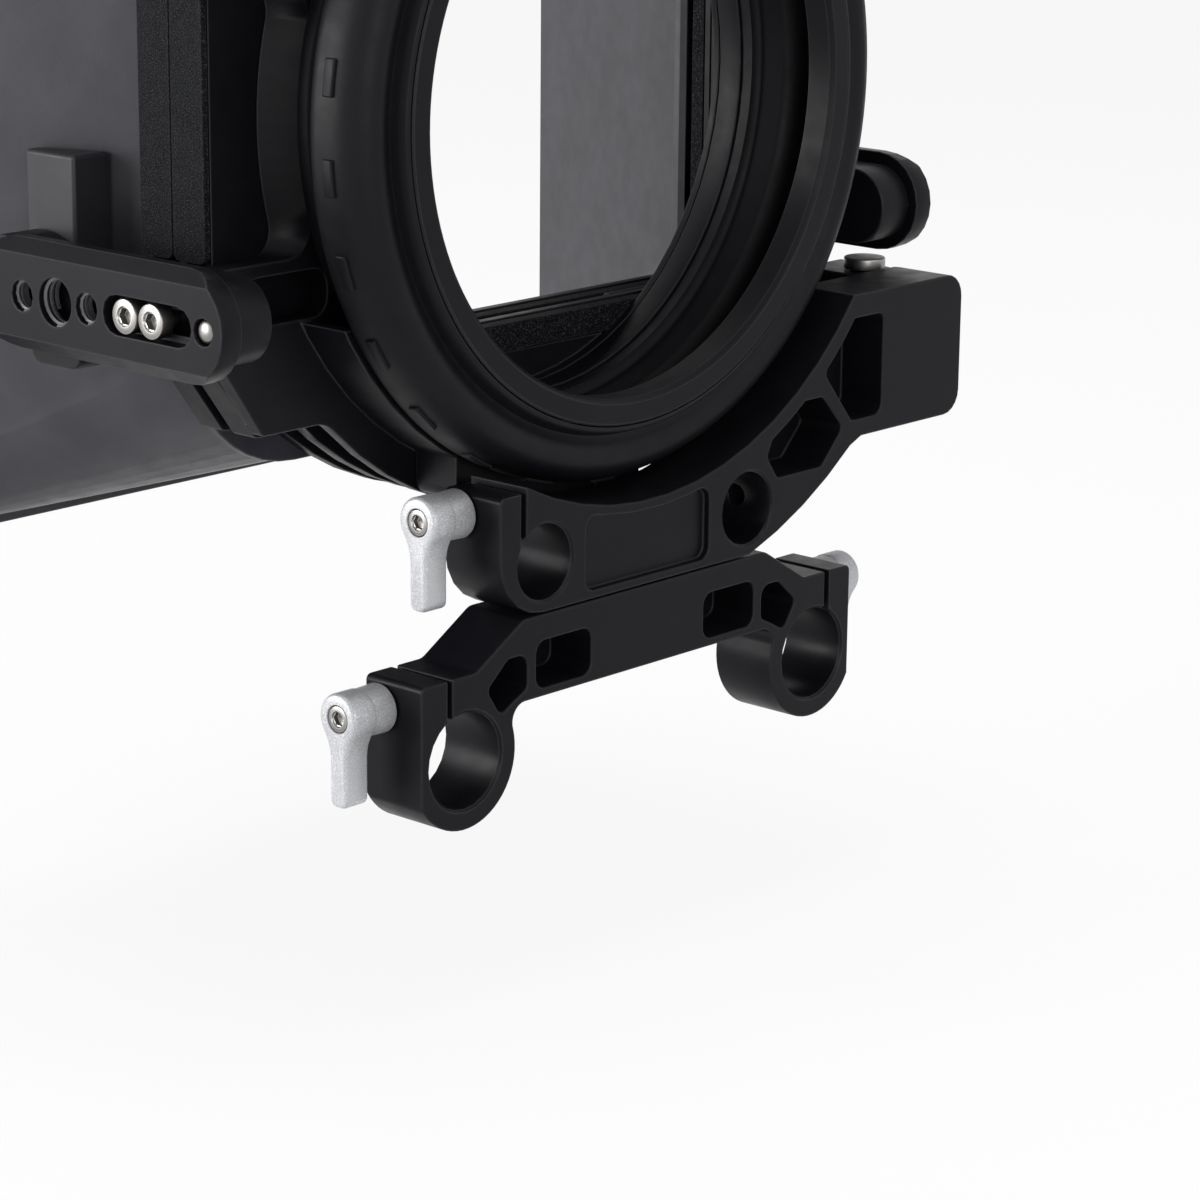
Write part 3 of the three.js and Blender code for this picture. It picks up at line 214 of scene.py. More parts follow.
class Shader(NodeTree):
    """The node tree of a material, where a painted edge highlight starts at how alike two normals
    are.
    """

    worn_from: float = 0.9

    def __init__(self, name: str) -> None:
        """Starts an empty material with its surface shader.

        Args:
            name: The material's name.
        """
        self.material = bpy.data.materials.new(name)
        self.material.use_nodes = True
        super().__init__(self.material.node_tree)
        self.surface = self.tree.nodes["Principled BSDF"]
        self.coordinates = self.add("ShaderNodeTexCoord").outputs["Object"]

    def noise(self, size: float, detail: float = 2.0, where: Socket | None = None) -> Socket:
        """Noise whose grains have a size in metres.

        Args:
            size: The grain's size.
            detail: The number of finer octaves.
            where: The place that it is worked out at, where it isn't the piece's own.

        Returns:
            The noise's value.
        """
        return self.add(
            "ShaderNodeTexNoise", Vector=where or self.coordinates, Scale=1 / size, Detail=detail
        ).outputs["Fac"]

    def spread(self, value: Socket, low: float, high: float, start: float, end: float) -> Socket:
        """Maps a value's span from low to high onto start to end, and holds it there."""
        return self.add(
            "ShaderNodeMapRange", Value=value, From_Min=low, From_Max=high, To_Min=start, To_Max=end
        ).outputs["Result"]

    def mix(self, share: Socket, first: object, second: object) -> Socket:
        """Mixes two colours by a share.

        Args:
            share: The share of the second colour.
            first: The first colour or output socket.
            second: The second colour or output socket.

        Returns:
            The mixed colour.
        """
        node = self.add("ShaderNodeMix", {"data_type": "RGBA"}, Factor=share)
        for name, colour in (("A", first), ("B", second)):
            socket = next(s for s in node.inputs if s.name == name and s.type == "RGBA")
            self.feed(socket, colour if isinstance(colour, Socket) else (*colour, 1))
        return next(s for s in node.outputs if s.type == "RGBA")

    def edges(self, radius: float) -> Socket:
        """A share that is 1 on edges, where a highlight is painted, and 0 on flats.

        Args:
            radius: The width in metres that an edge's painted highlight spans.

        Returns:
            The share.
        """
        rounded = self.add("ShaderNodeBevel", {"samples": 4}, Radius=radius).outputs["Normal"]
        flat = self.add("ShaderNodeNewGeometry").outputs["Normal"]
        alike = self.math("DOT_PRODUCT", rounded, flat, "ShaderNodeVectorMath")
        return self.spread(alike, self.worn_from, 1.0, 1.0, 0.0)

    def relief(self, height: Socket, depth: float) -> Socket:
        """Turns a height from 0 to 1 into a normal, with a depth in metres."""
        return self.add("ShaderNodeBump", Height=height, Distance=depth).outputs["Normal"]


# Finishes


@dataclass(frozen=True)
class Finish:
    """A surface with fine grain, slow variation and a highlight painted along its edges.

    The sizes of grain, cloud and smear, the relief's depth and the width of the edges are in
    metres.
    """

    name: str
    slot: Slot
    colour: Colour
    roughness: float
    metallic: float = 0.0
    specular: float = 0.5
    grain: float = 0.00025
    depth: float = 0.000012
    cloud: float = 0.012
    cloud_span: tuple[float, float] = (0.35, 0.65)
    variation: float = 0.12
    smear: float = 0.004
    smear_span: tuple[float, float] = (0.3, 0.7)
    uneven: float = 0.05
    # edge width, colour and share: a highlight painted along the edges, standing for light caught
    # there
    edge_width: float = 0.0005
    edge_colour: Colour = (0.07, 0.07, 0.075)
    edge_share: float = 0.5

    def build(self) -> bpy.types.Material:
        """Makes the material with its whole node tree.

        Returns:
            The material.
        """
        shader = Shader(self.name)
        looks = {
            "Base Color": self.paint(shader), "Metallic": self.metallic,
            "Specular IOR Level": self.specular, "Roughness": self.gloss(shader),
            "Normal": self.texture(shader),
        }
        for socket, value in looks.items():
            shader.feed(shader.surface.inputs[socket], value)
        return shader.material

    def scaled(self, factor: float) -> Colour:
        """The finish's colour, lighter or darker by a factor."""
        return tuple(min(1.0, channel * factor) for channel in self.colour)

    def paint(self, shader: Shader) -> Socket:
        """The colour over the surface.

        Args:
            shader: The material's node tree.

        Returns:
            The colour.
        """
        slow = shader.spread(shader.noise(self.cloud, 3), *self.cloud_span, 0, 1)
        body = shader.mix(slow, self.scaled(1 - self.variation), self.scaled(1 + self.variation))
        # painted highlight: edges are mixed towards the lighter edge colour to stand for light
        # caught along them
        painted_edge_highlight = shader.math("MULTIPLY", shader.edges(self.edge_width), self.edge_share)
        return shader.mix(painted_edge_highlight, body, self.edge_colour)

    def gloss(self, shader: Shader) -> Socket:
        """The roughness over the surface."""
        return shader.spread(
            shader.noise(self.smear, 4), *self.smear_span, self.roughness - self.uneven,
            self.roughness + self.uneven,
        )

    def texture(self, shader: Shader) -> Socket:
        """The relief over the surface, as a normal."""
        return shader.relief(shader.noise(self.grain), self.depth)


@dataclass(frozen=True)
class SpeckledFinish(Finish):
    """A finish with light specks scattered over it."""

    speck_colour: Colour = (0.75, 0.76, 0.78)
    speck_size: float = 0.0003
    speck_share: float = 0.5
    speck_from: float = 0.55
    speck_to: float = 0.72

    def paint(self, shader: Shader) -> Socket:
        """The colour over the surface, with its specks.

        Args:
            shader: The material's node tree.

        Returns:
            The colour.
        """
        specks = shader.spread(
            shader.noise(self.speck_size, 1), self.speck_from, self.speck_to, 0, self.speck_share
        )
        return shader.mix(specks, Finish.paint(self, shader), self.speck_colour)


@dataclass(frozen=True)
class TurnedFinish(Finish):
    """Bare metal with fine tool marks along one axis."""

    axis: Axis = Axis.X
    mark: float = 0.00012
    streak: float = 0.05

    def texture(self, shader: Shader) -> Socket:
        """Fine rings about the axis, as a normal.

        Args:
            shader: The material's node tree.

        Returns:
            The normal.
        """
        stretch = [self.streak] * 3
        stretch[self.axis.value] = 1.0
        mapping = shader.add("ShaderNodeMapping", Vector=shader.coordinates, Scale=stretch)
        return shader.relief(
            shader.noise(self.mark, where=mapping.outputs["Vector"]), self.depth
        )


class Palette:
    """Builds each finish once and hands out its material."""

    # each finish's edge colour is a painted edge highlight, lighter than the finish's body
    anodised = Finish(
        "black_anodised_metal", Slot.ANODISED, (0.005, 0.0048, 0.0066), roughness=0.36,
        specular=0.1,
    )
    deep_anodised = Finish(
        "deep_black_anodised", Slot.ANODISED, (0.0045, 0.0043, 0.006), roughness=0.42,
        specular=0.12,
    )
    satin = Finish(
        "satin_black_block", Slot.ANODISED, (0.019, 0.0187, 0.0225), roughness=0.42, specular=0.2,
        edge_colour=(0.16, 0.16, 0.17),
    )
    threads = Finish(
        "worn_screw_thread", Slot.ANODISED, (0.1, 0.1, 0.108), roughness=0.3,
        edge_colour=(0.2, 0.2, 0.21),
    )
    cast = SpeckledFinish(
        "speckled_cast_metal", Slot.CAST, (0.39, 0.395, 0.41), roughness=0.4, metallic=0.3,
        grain=0.0003, depth=0.00004, edge_colour=(0.66, 0.66, 0.67), edge_share=0.4,
        speck_size=0.00022, speck_share=0.55, speck_from=0.5, speck_to=0.66,
    )
    steel = TurnedFinish(
        "turned_stainless_steel", Slot.STEEL, (0.25, 0.24, 0.23), roughness=0.36, metallic=1.0,
        variation=0.05, edge_colour=(0.75, 0.75, 0.74), depth=0.000006,
    )
    rubber = Finish(
        "moulded_black_rubber", Slot.RUBBER, (0.0048, 0.0046, 0.0062), roughness=0.48, grain=0.0005,
        depth=0.00002, edge_colour=(0.02, 0.02, 0.022), edge_share=0.4, specular=0.12,
    )
    # its light specks are the sparked grain, with the grain's glints painted in as colour
    textured = SpeckledFinish(
        "sparked_grey_plate", Slot.TEXTURED, (0.0035, 0.0034, 0.0045), roughness=0.65, grain=0.0004,
        depth=0.0001, speck_colour=(0.09, 0.09, 0.098), speck_size=0.0002, speck_share=0.6,
        speck_from=0.58, speck_to=0.68, edge_share=0.2, specular=0.05,
    )
    hood = Finish(
        "satin_hood_moulding", Slot.HOOD, (0.0305, 0.03, 0.0365), roughness=0.42, grain=0.0006,
        depth=0.00002, edge_share=0.4, specular=0.3,
    )

    def __init__(self) -> None:
        """Starts with no materials made."""
        self.made: dict[str, bpy.types.Material] = {}

    def material(self, finish: Finish) -> bpy.types.Material:
        """The material of a finish, made at its first use.

        Args:
            finish: The finish.

        Returns:
            Its material.
        """
        if finish.name not in self.made:
            self.made[finish.name] = finish.build()
        return self.made[finish.name]


# Making of meshes


def arc(radius: float, start: float, end: float, steps: int, across: float = 0.0,
        up: float = 0.0) -> list[tuple[float, float]]:
    """Points on an arc round a centre, between two angles in degrees."""
    angles = (math.radians(start + (end - start) * step / steps) for step in range(steps + 1))
    return [(across + radius * math.cos(turn), up + radius * math.sin(turn)) for turn in angles]


def in_scene(name: str, data: bpy.types.ID) -> Piece:
    """Makes an object of a mesh, a camera or a lamp, and puts it in the scene.

    Args:
        name: The object's name.
        data: What it shows.

    Returns:
        The object.
    """
    thing = bpy.data.objects.new(name, data)
    bpy.context.scene.collection.objects.link(thing)
    return thing


@dataclass(frozen=True)
class Milled:
    """A node that is made anew with broken corners, whose width is in millimetres."""

    node: str
    name: str
    finish: Finish
    edge: float


@dataclass
class Flats:
    """The flat regions of a mesh, which are filled anew and shaded flat.

    Attributes:
        mesh: The mesh.
        turn: The largest turn in radians between faces of one flat.
        bend: The smallest turn in radians between facets of a curve.
        gap: The largest distance in metres between faces of one flat.
        least: The area in square metres from which a region is shaded flat.
        alike: The least share of a facet's area that the facet beside it has.
        crease: The largest turn in degrees that is shaded smooth.
    """

    mesh: Mesh
    turn: float = 0.006
    bend: float = 0.05
    gap: float = 1.5e-5
    least: float = 2e-6
    alike: float = 0.35
    crease: float = 34.0

    def regions(self) -> list[Region]:
        """The faces that lie in one plane side by side, region by region.

        Returns:
            The regions, each as a list of its faces.
        """
        seen: set[bmesh.types.BMFace] = set()
        found = []
        for face in self.mesh.faces:
            if face in seen:
                continue
            seen.add(face)
            stack, region = [face], []
            while stack:
                region.append(stack.pop())
                for other in (f for edge in region[-1].edges for f in edge.link_faces):
                    off = (other.verts[0].co - face.verts[0].co).dot(face.normal)
                    turned = other.normal.angle(face.normal, NO_ANGLE)
                    if other not in seen and turned < self.turn and abs(off) < self.gap:
                        seen.add(other)
                        stack.append(other)
            found.append(region)
        return found

    @staticmethod
    def normal(region: Region) -> Vector:
        """The mean normal of a region's faces."""
        return sum((f.normal * f.calc_area() for f in region), Vector()).normalized()

    def curved(self, region: Region) -> bool:
        """Whether a region is one facet of a curve, so a facet like it lies beside it.

        Args:
            region: The region's faces.

        Returns:
            True where it is part of a curve.
        """
        size = sum(face.calc_area() for face in region)
        ahead = self.normal(region)
        return any(
            self.bend < other.normal.angle(ahead, NO_ANGLE) < math.radians(self.crease)
            and self.alike < other.calc_area() / size < 1 / self.alike
            for face in region for edge in face.edges for other in edge.link_faces
        )

    def fill(self) -> None:
        """Fills each region with triangles that don't cross its rims."""
        for region in self.regions():
            if len(region) > 1 or len(region[0].verts) > 4:
                self.refill(region)
        self.mesh.normal_update()

    def refill(self, region: Region) -> None:
        """Fills one region anew, unless its rims touch.

        Args:
            region: The region's faces.
        """
        members = set(region)
        edges = dict.fromkeys(edge for face in region for edge in face.edges)
        rim = [e for e in edges if sum(f in members for f in e.link_faces) == 1]
        verts = list(dict.fromkeys(vert for edge in rim for vert in edge.verts))
        index = {vert: i for i, vert in enumerate(verts)}
        ahead = self.normal(region)
        across = ahead.orthogonal().normalized()
        up = ahead.cross(across)
        flat = [Vector((v.co.dot(across), v.co.dot(up))) / MM for v in verts]
        ends = [tuple(index[vert] for vert in edge.verts) for edge in rim]
        points, _, faces, origins, _, _ = delaunay_2d_cdt(flat, ends, [], 0, 1e-6, True)
        inside = [face for face in faces if self.within(
            sum((points[i] for i in face), Vector((0, 0))) / len(face),
            [(flat[a], flat[b]) for a, b in ends],
        )]
        used = {i for face in inside for i in face}
        if any(len(origins[i]) != 1 for i in used) or len(used) != len(verts):
            return
        made = [[verts[origins[i][0]] for i in face] for face in inside]
        if any(self.mesh.faces.get(face) not in {None, *members} for face in made):
            return
        bmesh.ops.delete(self.mesh, geom=region, context="FACES_ONLY")
        bmesh.ops.delete(
            self.mesh, geom=[e for e in edges if e.is_valid and not e.link_faces and e not in rim],
            context="EDGES",
        )
        for face in made:
            self.mesh.faces.new(face)

    @staticmethod
    def within(point: Vector, rims: list[tuple[Vector, Vector]]) -> bool:
        """Whether a point is inside the rims, by the number of rims beside it.

        Args:
            point: The point in the plane.
            rims: The ends of each rim in the plane.

        Returns:
            True where it is inside.
        """
        return sum(
            (a.y > point.y) != (b.y > point.y)
            and point.x < a.x + (point.y - a.y) / (b.y - a.y) * (b.x - a.x) for a, b in rims
        ) % 2 == 1

    def shaded(self, data: bpy.types.Mesh) -> None:
        """Writes the mesh with flat regions shaded flat and what joins them shaded smooth.

        Args:
            data: The mesh data that is written.
        """
        flats: dict[int, list[Vector]] = {}
        self.mesh.verts.index_update()
        for region in self.regions():
            if sum(face.calc_area() for face in region) > self.least and not self.curved(region):
                for vert in {vert for face in region for vert in face.verts}:
                    flats.setdefault(vert.index, []).append(self.normal(region))
        self.mesh.to_mesh(data)
        data.shade_smooth()
        data.set_sharp_from_angle(angle=math.radians(self.crease))
        normals = [corner.vector.copy() for corner in data.corner_normals]
        for face in data.polygons:
            for corner in face.loop_indices:
                near = max(flats.get(data.loops[corner].vertex_index, ()),
                           key=face.normal.dot, default=None)
                if near is not None and near.dot(face.normal) > math.cos(math.radians(self.crease)):
                    normals[corner] = near
        data.normals_split_custom_set(normals)


class Workshop:
    """Makes pieces, dresses them and lets them ride on their bodies.

    Attributes:
        weld: The distance in metres at which the solids' points are one.
        tiny: The length in metres up to which an edge is closed before its corners are broken.
        level: The largest turn in degrees within one face.
        corner: The smallest turn in degrees at a corner that is broken.
        across: The turns in radians between which an edge runs across a corner.
        room: The share of such an edge that a broken corner may take.
        steps: The faces across a broken corner.
    """

    weld: float = 2e-6
    tiny: float = 8e-5
    level: float = 0.4
    corner: float = 50.0
    across: tuple[float, float] = (0.6, 2.5)
    room: float = 0.45
    steps: int = 4

    def __init__(self, frame: dict) -> None:
        """Keeps the frame and a palette.
        """
        self.nodes: dict[str, Piece] = frame["nodes"]
        self.palette = Palette()

    def place(self, piece: Piece, finish: Finish, *nodes: str, body: str | None = None) -> Piece:
        """Dresses a piece, lets it ride, and lets it stand for nodes.

        Args:
            piece: The finished piece.
            finish: Its finish.
            *nodes: The nodes that it stands for.
            body: The body that it rides on, where it stands for no node.

        Returns:
            The piece.
        """
        piece.data.materials.clear()
        piece.data.materials.append(self.palette.material(finish))
        for polygon in piece.data.polygons:
            polygon.material_index = 0
        if nodes:
            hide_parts(*nodes)
        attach(piece, body or self.nodes[nodes[0]]["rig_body"])
        LOG.info("%s: %d faces", piece.name, len(piece.data.polygons))
        return piece

    @staticmethod
    def from_bmesh(name: str, mesh: Mesh) -> Piece:
        """Turns a bmesh into an object in the scene.

        Args:
            name: The object's name.
            mesh: The bmesh, which is freed.

        Returns:
            The object.
        """
        data = bpy.data.meshes.new(name)
        mesh.to_mesh(data)
        mesh.free()
        return in_scene(name, data)

    def applied(self, piece: Piece, smooth: float) -> Piece:
        """Applies a piece's modifiers and shades it smooth below an angle.

        Args:
            piece: The piece, with its modifiers.
            smooth: The largest angle in degrees that is shaded smooth.

        Returns:
            The piece as a plain mesh.
        """
        graph = bpy.context.evaluated_depsgraph_get()
        graph.update()
        plain = bpy.data.meshes.new_from_object(piece.evaluated_get(graph))
        piece.modifiers.clear()
        piece.data = plain
        plain.name = piece.name
        plain.shade_smooth()
        plain.set_sharp_from_angle(angle=math.radians(smooth))
        return piece

    def weigh(self, mesh: Mesh, width: float) -> None:
        """Gives each corner the share of a bevel's width that the faces beside it have room for.

        Args:
            mesh: The mesh.
            width: The bevel's width in metres.
        """
        share = mesh.edges.layers.float.new("bevel_weight_edge")
        corners = [edge for edge in mesh.edges if len(edge.link_faces) == 2
                   and edge.calc_face_angle() > math.radians(self.corner)]
        ends = {vert for edge in corners for vert in edge.verts}
        low, high = self.across
        for edge in corners:
            room = width
            for face in edge.link_faces:
                for vert in edge.verts:
                    beside = next(e for e in face.edges if vert in e.verts and e is not edge)
                    far = beside.other_vert(vert)
                    turn = (edge.other_vert(vert).co - vert.co).angle(far.co - vert.co, 0)
                    if far in ends and low < turn < high:
                        room = min(room, self.room * beside.calc_length())
            edge[share] = room / width

    def mill(self, part: Milled) -> Piece:
        """Makes a node's shape anew with broken corners.

        Args:
            part: The node, and the name, finish and corners of its piece.

        Returns:
            The piece.
        """
        mesh = bmesh.new()
        mesh.from_mesh(self.nodes[part.node].data)
        bmesh.ops.remove_doubles(mesh, verts=mesh.verts, dist=self.weld)
        bmesh.ops.dissolve_limit(
            mesh, angle_limit=math.radians(self.level), verts=mesh.verts, edges=mesh.edges,
            delimit={"NORMAL"},
        )
        bmesh.ops.remove_doubles(mesh, verts=mesh.verts, dist=self.tiny)
        bmesh.ops.dissolve_degenerate(mesh, dist=self.weld / 2, edges=mesh.edges)
        self.weigh(mesh, part.edge * MM)
        piece = self.from_bmesh(part.name, mesh)
        bevel = piece.modifiers.new("broken_corners", "BEVEL")
        bevel.width = part.edge * MM
        bevel.segments = self.steps
        bevel.limit_method = "WEIGHT"
        bevel.use_clamp_overlap = False
        bevel.loop_slide = False
        self.applied(piece, Flats.crease)
        rounded = bmesh.new()
        rounded.from_mesh(piece.data)
        low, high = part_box(part.node)
        for vert in rounded.verts:
            vert.co = [min(max(at, low[i]), high[i]) for i, at in enumerate(vert.co)]
        rounded.normal_update()
        flats = Flats(rounded)
        flats.fill()
        flats.shaded(piece.data)
        rounded.free()
        return self.place(piece, part.finish, part.node)

    def rings(self, name: str, loops: list[list[Vector]], closed: bool) -> Piece:
        """Joins loops of as many points each into a skin.

        Args:
            name: The piece's name.
            loops: The loops, from one end to the other.
            closed: Whether the last loop joins the first, and else the ends are filled.

        Returns:
            The piece, with its faces pointing out.
        """
        mesh = bmesh.new()
        rows = [[mesh.verts.new(point) for point in loop] for loop in loops]
        pairs = list(zip(rows, rows[1:]))
        if closed:
            pairs.append((rows[-1], rows[0]))
        for first, second in pairs:
            for i in range(len(first)):
                j = (i + 1) % len(first)
                mesh.faces.new((first[i], first[j], second[j], second[i]))
        if not closed:
            mesh.faces.new(list(reversed(rows[0])))
            mesh.faces.new(rows[-1])
        bmesh.ops.recalc_face_normals(mesh, faces=mesh.faces)
        return self.from_bmesh(name, mesh)

    def joined(self, name: str, pieces: list[Piece]) -> Piece:
        """Puts the meshes of several pieces into one.

        Args:
            name: The new piece's name.
            pieces: The pieces, which are removed.

        Returns:
            The new piece.
        """
        mesh = bmesh.new()
        for piece in pieces:
            mesh.from_mesh(piece.data)
            bpy.data.objects.remove(piece)
        return self.from_bmesh(name, mesh)


@dataclass
class Turned:
    """A piece turned about an axis, from points of radius and place along it."""

    name: str
    profile: Profile
    axis: Axis
    centre: Vector
    sides: int = 48
    closed: bool = False
    hexes: tuple[int, ...] = ()

    def radius(self, index: int, radius: float, angle: float) -> float:
        """The radius at an angle, of a round loop or of a hexagon.

        Args:
            index: The loop's place in the profile.
            radius: Its radius, or half the width of its hexagon.
            angle: The angle in radians.

        Returns:
            The radius there.
        """
        if index not in self.hexes:
            return radius
        return radius / math.cos((angle % (math.pi / 3)) - math.pi / 6)

    def loops(self) -> list[list[Vector]]:
        """The loops of points in metres, one for each point of the profile.

        Returns:
            The loops.
        """
        along = self.axis.value
        across, up = (along + 1) % 3, (along + 2) % 3
        made = []
        for index, (radius, place) in enumerate(self.profile):
            loop = []
            for step in range(self.sides):
                angle = 2 * math.pi * step / self.sides
                reach = self.radius(index, radius, angle)
                point = Vector((0.0, 0.0, 0.0))
                point[along] = place
                point[across] = reach * math.cos(angle)
                point[up] = reach * math.sin(angle)
                loop.append((point + self.centre) * MM)
            made.append(loop)
        return made

    def make(self, shop: Workshop, smooth: float = 30.0) -> Piece:
        """Makes the piece as a plain mesh."""
        return shop.applied(shop.rings(self.name, self.loops(), self.closed), smooth)


class Recipe(NodeTree):
    """A Geometry Nodes tree with named inputs, ending in one plain mesh."""

    def __init__(self, name: str, inputs: dict[str, str]) -> None:
        """Starts a tree.

        Args:
            name: The tree's name.
            inputs: The type of each input's socket, by its name.
        """
        super().__init__(bpy.data.node_groups.new(name, "GeometryNodeTree"))
        sockets = [(label, kind, "INPUT") for label, kind in
                   {"Geometry": "Geometry", **inputs, "Finish": "Material"}.items()]
        for label, kind, way in [*sockets, ("Geometry", "Geometry", "OUTPUT")]:
            self.tree.interface.new_socket(label, in_out=way, socket_type=f"NodeSocket{kind}")
        self.given = self.add("NodeGroupInput").outputs

    def end(self, geometry: Socket) -> None:
        """Ends the tree with plain meshes in their finish.

        Args:
            geometry: What the tree has made.
        """
        real = self.add("GeometryNodeRealizeInstances", Geometry=geometry)
        done = self.add(
            "GeometryNodeSetMaterial", Geometry=real.outputs[0], Material=self.given["Finish"]
        )
        self.add("NodeGroupOutput", Geometry=done.outputs[0])

    def run(self, piece: Piece, shop: Workshop, smooth: float, **values: object) -> Piece:
        """Runs the tree on a piece and keeps the outcome as its mesh.

        Args:
            piece: The piece whose mesh goes in.
            shop: The workshop.
            smooth: The largest angle in degrees that is shaded smooth.
            **values: The inputs by name, with _ for a space.

        Returns:
            The piece as a plain mesh.
        """
        modifier = piece.modifiers.new(self.tree.name, "NODES")
        modifier.node_group = self.tree
        for socket in self.tree.interface.items_tree:
            key = socket.name.replace(" ", "_")
            if socket.in_out == "INPUT" and key in values:
                modifier[socket.identifier] = values[key]
        return shop.applied(piece, smooth)


class Recipes:
    """The trees that the sub-assemblies share."""

    coil_points: int = 40
    ridge_points: int = 4

    def __init__(self) -> None:
        """Builds each tree once."""
        self.row = self.make_row()
        self.ring = self.make_ring()
        self.thread = self.make_thread()

    @staticmethod
    def make_row() -> Recipe:
        """A row of copies of a mesh, a step apart.

        Returns:
            The tree, with the inputs Count and Step.
        """
        recipe = Recipe("row_of_copies", {"Count": "Int", "Step": "Vector"})
        given = recipe.given
        line = recipe.add("GeometryNodeMeshLine", {"mode": "OFFSET"}, Count=given["Count"],
                          Offset=given["Step"])
        copies = recipe.add("GeometryNodeInstanceOnPoints", Points=line.outputs[0],
                            Instance=given["Geometry"])
        recipe.end(copies.outputs[0])
        return recipe

    @staticmethod
    def make_ring() -> Recipe:
        """Copies of a mesh turned about Y through a centre.

        Returns:
            The tree, with the inputs Count, First and Centre.
        """
        recipe = Recipe("ring_of_copies", {"Count": "Int", "First": "Float", "Centre": "Vector"})
        given = recipe.given
        points = recipe.add("GeometryNodePoints", Count=given["Count"], Position=given["Centre"])
        step = recipe.math("DIVIDE", 2 * math.pi, given["Count"])
        turn = recipe.math("MULTIPLY", recipe.add("GeometryNodeInputIndex").outputs[0], step)
        euler = recipe.add("ShaderNodeCombineXYZ", Y=recipe.math("ADD", turn, given["First"]))
        copies = recipe.add("GeometryNodeInstanceOnPoints", Points=points.outputs[0],
                            Instance=given["Geometry"], Rotation=euler.outputs[0])
        recipe.end(copies.outputs[0])
        return recipe

    def make_thread(self) -> Recipe:
        """The ridge of an inside thread along X.

        Returns:
            The tree, with the sizes and the centre of the thread as inputs.
        """
        sizes = dict.fromkeys(("Radius", "Pitch", "Depth", "Ridge"), "Float")
        recipe = Recipe("thread_ridge", {**sizes, "Centre": "Vector"})
        given = recipe.given
        turns = recipe.math("DIVIDE", given["Depth"], given["Pitch"])
        coil = recipe.add("GeometryNodeCurveSpiral", Resolution=self.coil_points, Rotations=turns,
                          Start_Radius=given["Radius"], End_Radius=given["Radius"],
                          Height=given["Depth"])
        ridge = recipe.add("GeometryNodeCurvePrimitiveCircle", Resolution=self.ridge_points,
                           Radius=given["Ridge"])
        swept = recipe.add("GeometryNodeCurveToMesh", Curve=coil.outputs[0],
                           Profile_Curve=ridge.outputs[0], Fill_Caps=True)
        turned = recipe.add("GeometryNodeTransform", Geometry=swept.outputs[0],
                            Rotation=(0, math.pi / 2, 0), Translation=given["Centre"])
        recipe.end(turned.outputs[0])
        return recipe


# Sub-assemblies


@dataclass(frozen=True)
class SocketScrew:
    """The sizes of a socket-head screw with a chamfered rim and a hexagonal socket."""

    head: float
    height: float
    shank: float
    reach: float
    socket: float
    depth: float
    tip: float = 0.3
    foot: Profile = ((0.1, 0.0), (0.0, 0.15))
    rim: Profile = ((0.0, 0.35), (0.12, 0.12), (0.35, 0.0))
    sink: Profile = ((1.3, 0.0), (1.24, 0.08), (1.16, 0.4), (1.0, 0.45))
    drill_share: float = 0.6
    drill_depth: float = 0.25
    hexes: tuple[int, int] = (11, 12)

    def make(self, shop: Workshop, name: str, axis: Axis, place: Vector, sign: int) -> Piece:
        """Makes the screw.

        Args:
            shop: The workshop.
            name: The piece's name.
            axis: The axis that it lies along.
            place: The middle of the face below its head.
            sign: 1 where the head points along the axis, or -1.

        Returns:
            The screw.
        """
        radius, flats, shank = self.head / 2, self.socket / 2, self.shank / 2
        floor = self.height - self.depth
        profile = [
            (shank - self.tip, -self.reach), (shank, -self.reach + self.tip), (shank, 0),
            *((radius - less, up) for less, up in self.foot),
            *((radius - less, self.height - down) for less, down in self.rim),
            *((flats * share, self.height - down) for share, down in self.sink),
            (flats, floor), (flats * self.drill_share, floor - self.drill_depth),
        ]
        turned = Turned(name, [(r, sign * y) for r, y in profile], axis, place, hexes=self.hexes)
        return turned.make(shop, SCREW_SMOOTH)


@dataclass
class SubAssembly:
    """A sub-assembly that is built in one workshop."""

    milled: ClassVar[tuple[Milled, ...]] = ()

    shop: Workshop
    recipes: Recipes

    def build(self) -> None:
        """Makes the sub-assembly's pieces, the milled ones first."""
        for part in self.milled:
            self.shop.mill(part)

    def screw_pair(self, screw: SocketScrew, name: str, axis: Axis, place: Vector, sign: int,
                   step: Vector, ends: tuple[str, str]) -> None:
        """Makes two screws side by side as one piece.

        Args:
            screw: Their sizes.
            name: The piece's name.
            axis: The axis that they lie along.
            place: The middle of the face below the first head.
            sign: 1 where the heads point along the axis, or -1.
            step: The way from the first to the second.
            ends: The nodes that they stand for.
        """
        first = screw.make(self.shop, name, axis, place, sign)
        pair = self.recipes.row.run(first, self.shop, SCREW_SMOOTH, Count=2, Step=step * MM)
        self.shop.place(pair, Palette.steel, *ends)


@dataclass
class BridgeBracket(SubAssembly):
    """The bracket with two wide split bores, and the two screws up into the arc."""

    milled = (Milled("bridge_bracket", "milled_bridge", Palette.anodised, 0.4),)

    seat: tuple[float, float, float] = (-9.0, 7.5, 13.3)
    apart: float = 18.0
    screw: SocketScrew = SocketScrew(8.5, 5.0, 5.0, 19.5, 4.0, 2.5)

    def build(self) -> None:
        """Makes the bracket and its screws."""
        super().build()
        self.screw_pair(
            self.screw, "bridge_screws", Axis.Z, Vector(self.seat), -1, Vector((self.apart, 0, 0)),
            ("bridge_screw_left", "bridge_screw_right"),
        )


@dataclass
class ArcBracket(SubAssembly):
    """The curved bracket with two narrower bores, which carries the swing hinge."""

    milled = (Milled("arc_bracket", "milled_arc", Palette.anodised, 0.4),)


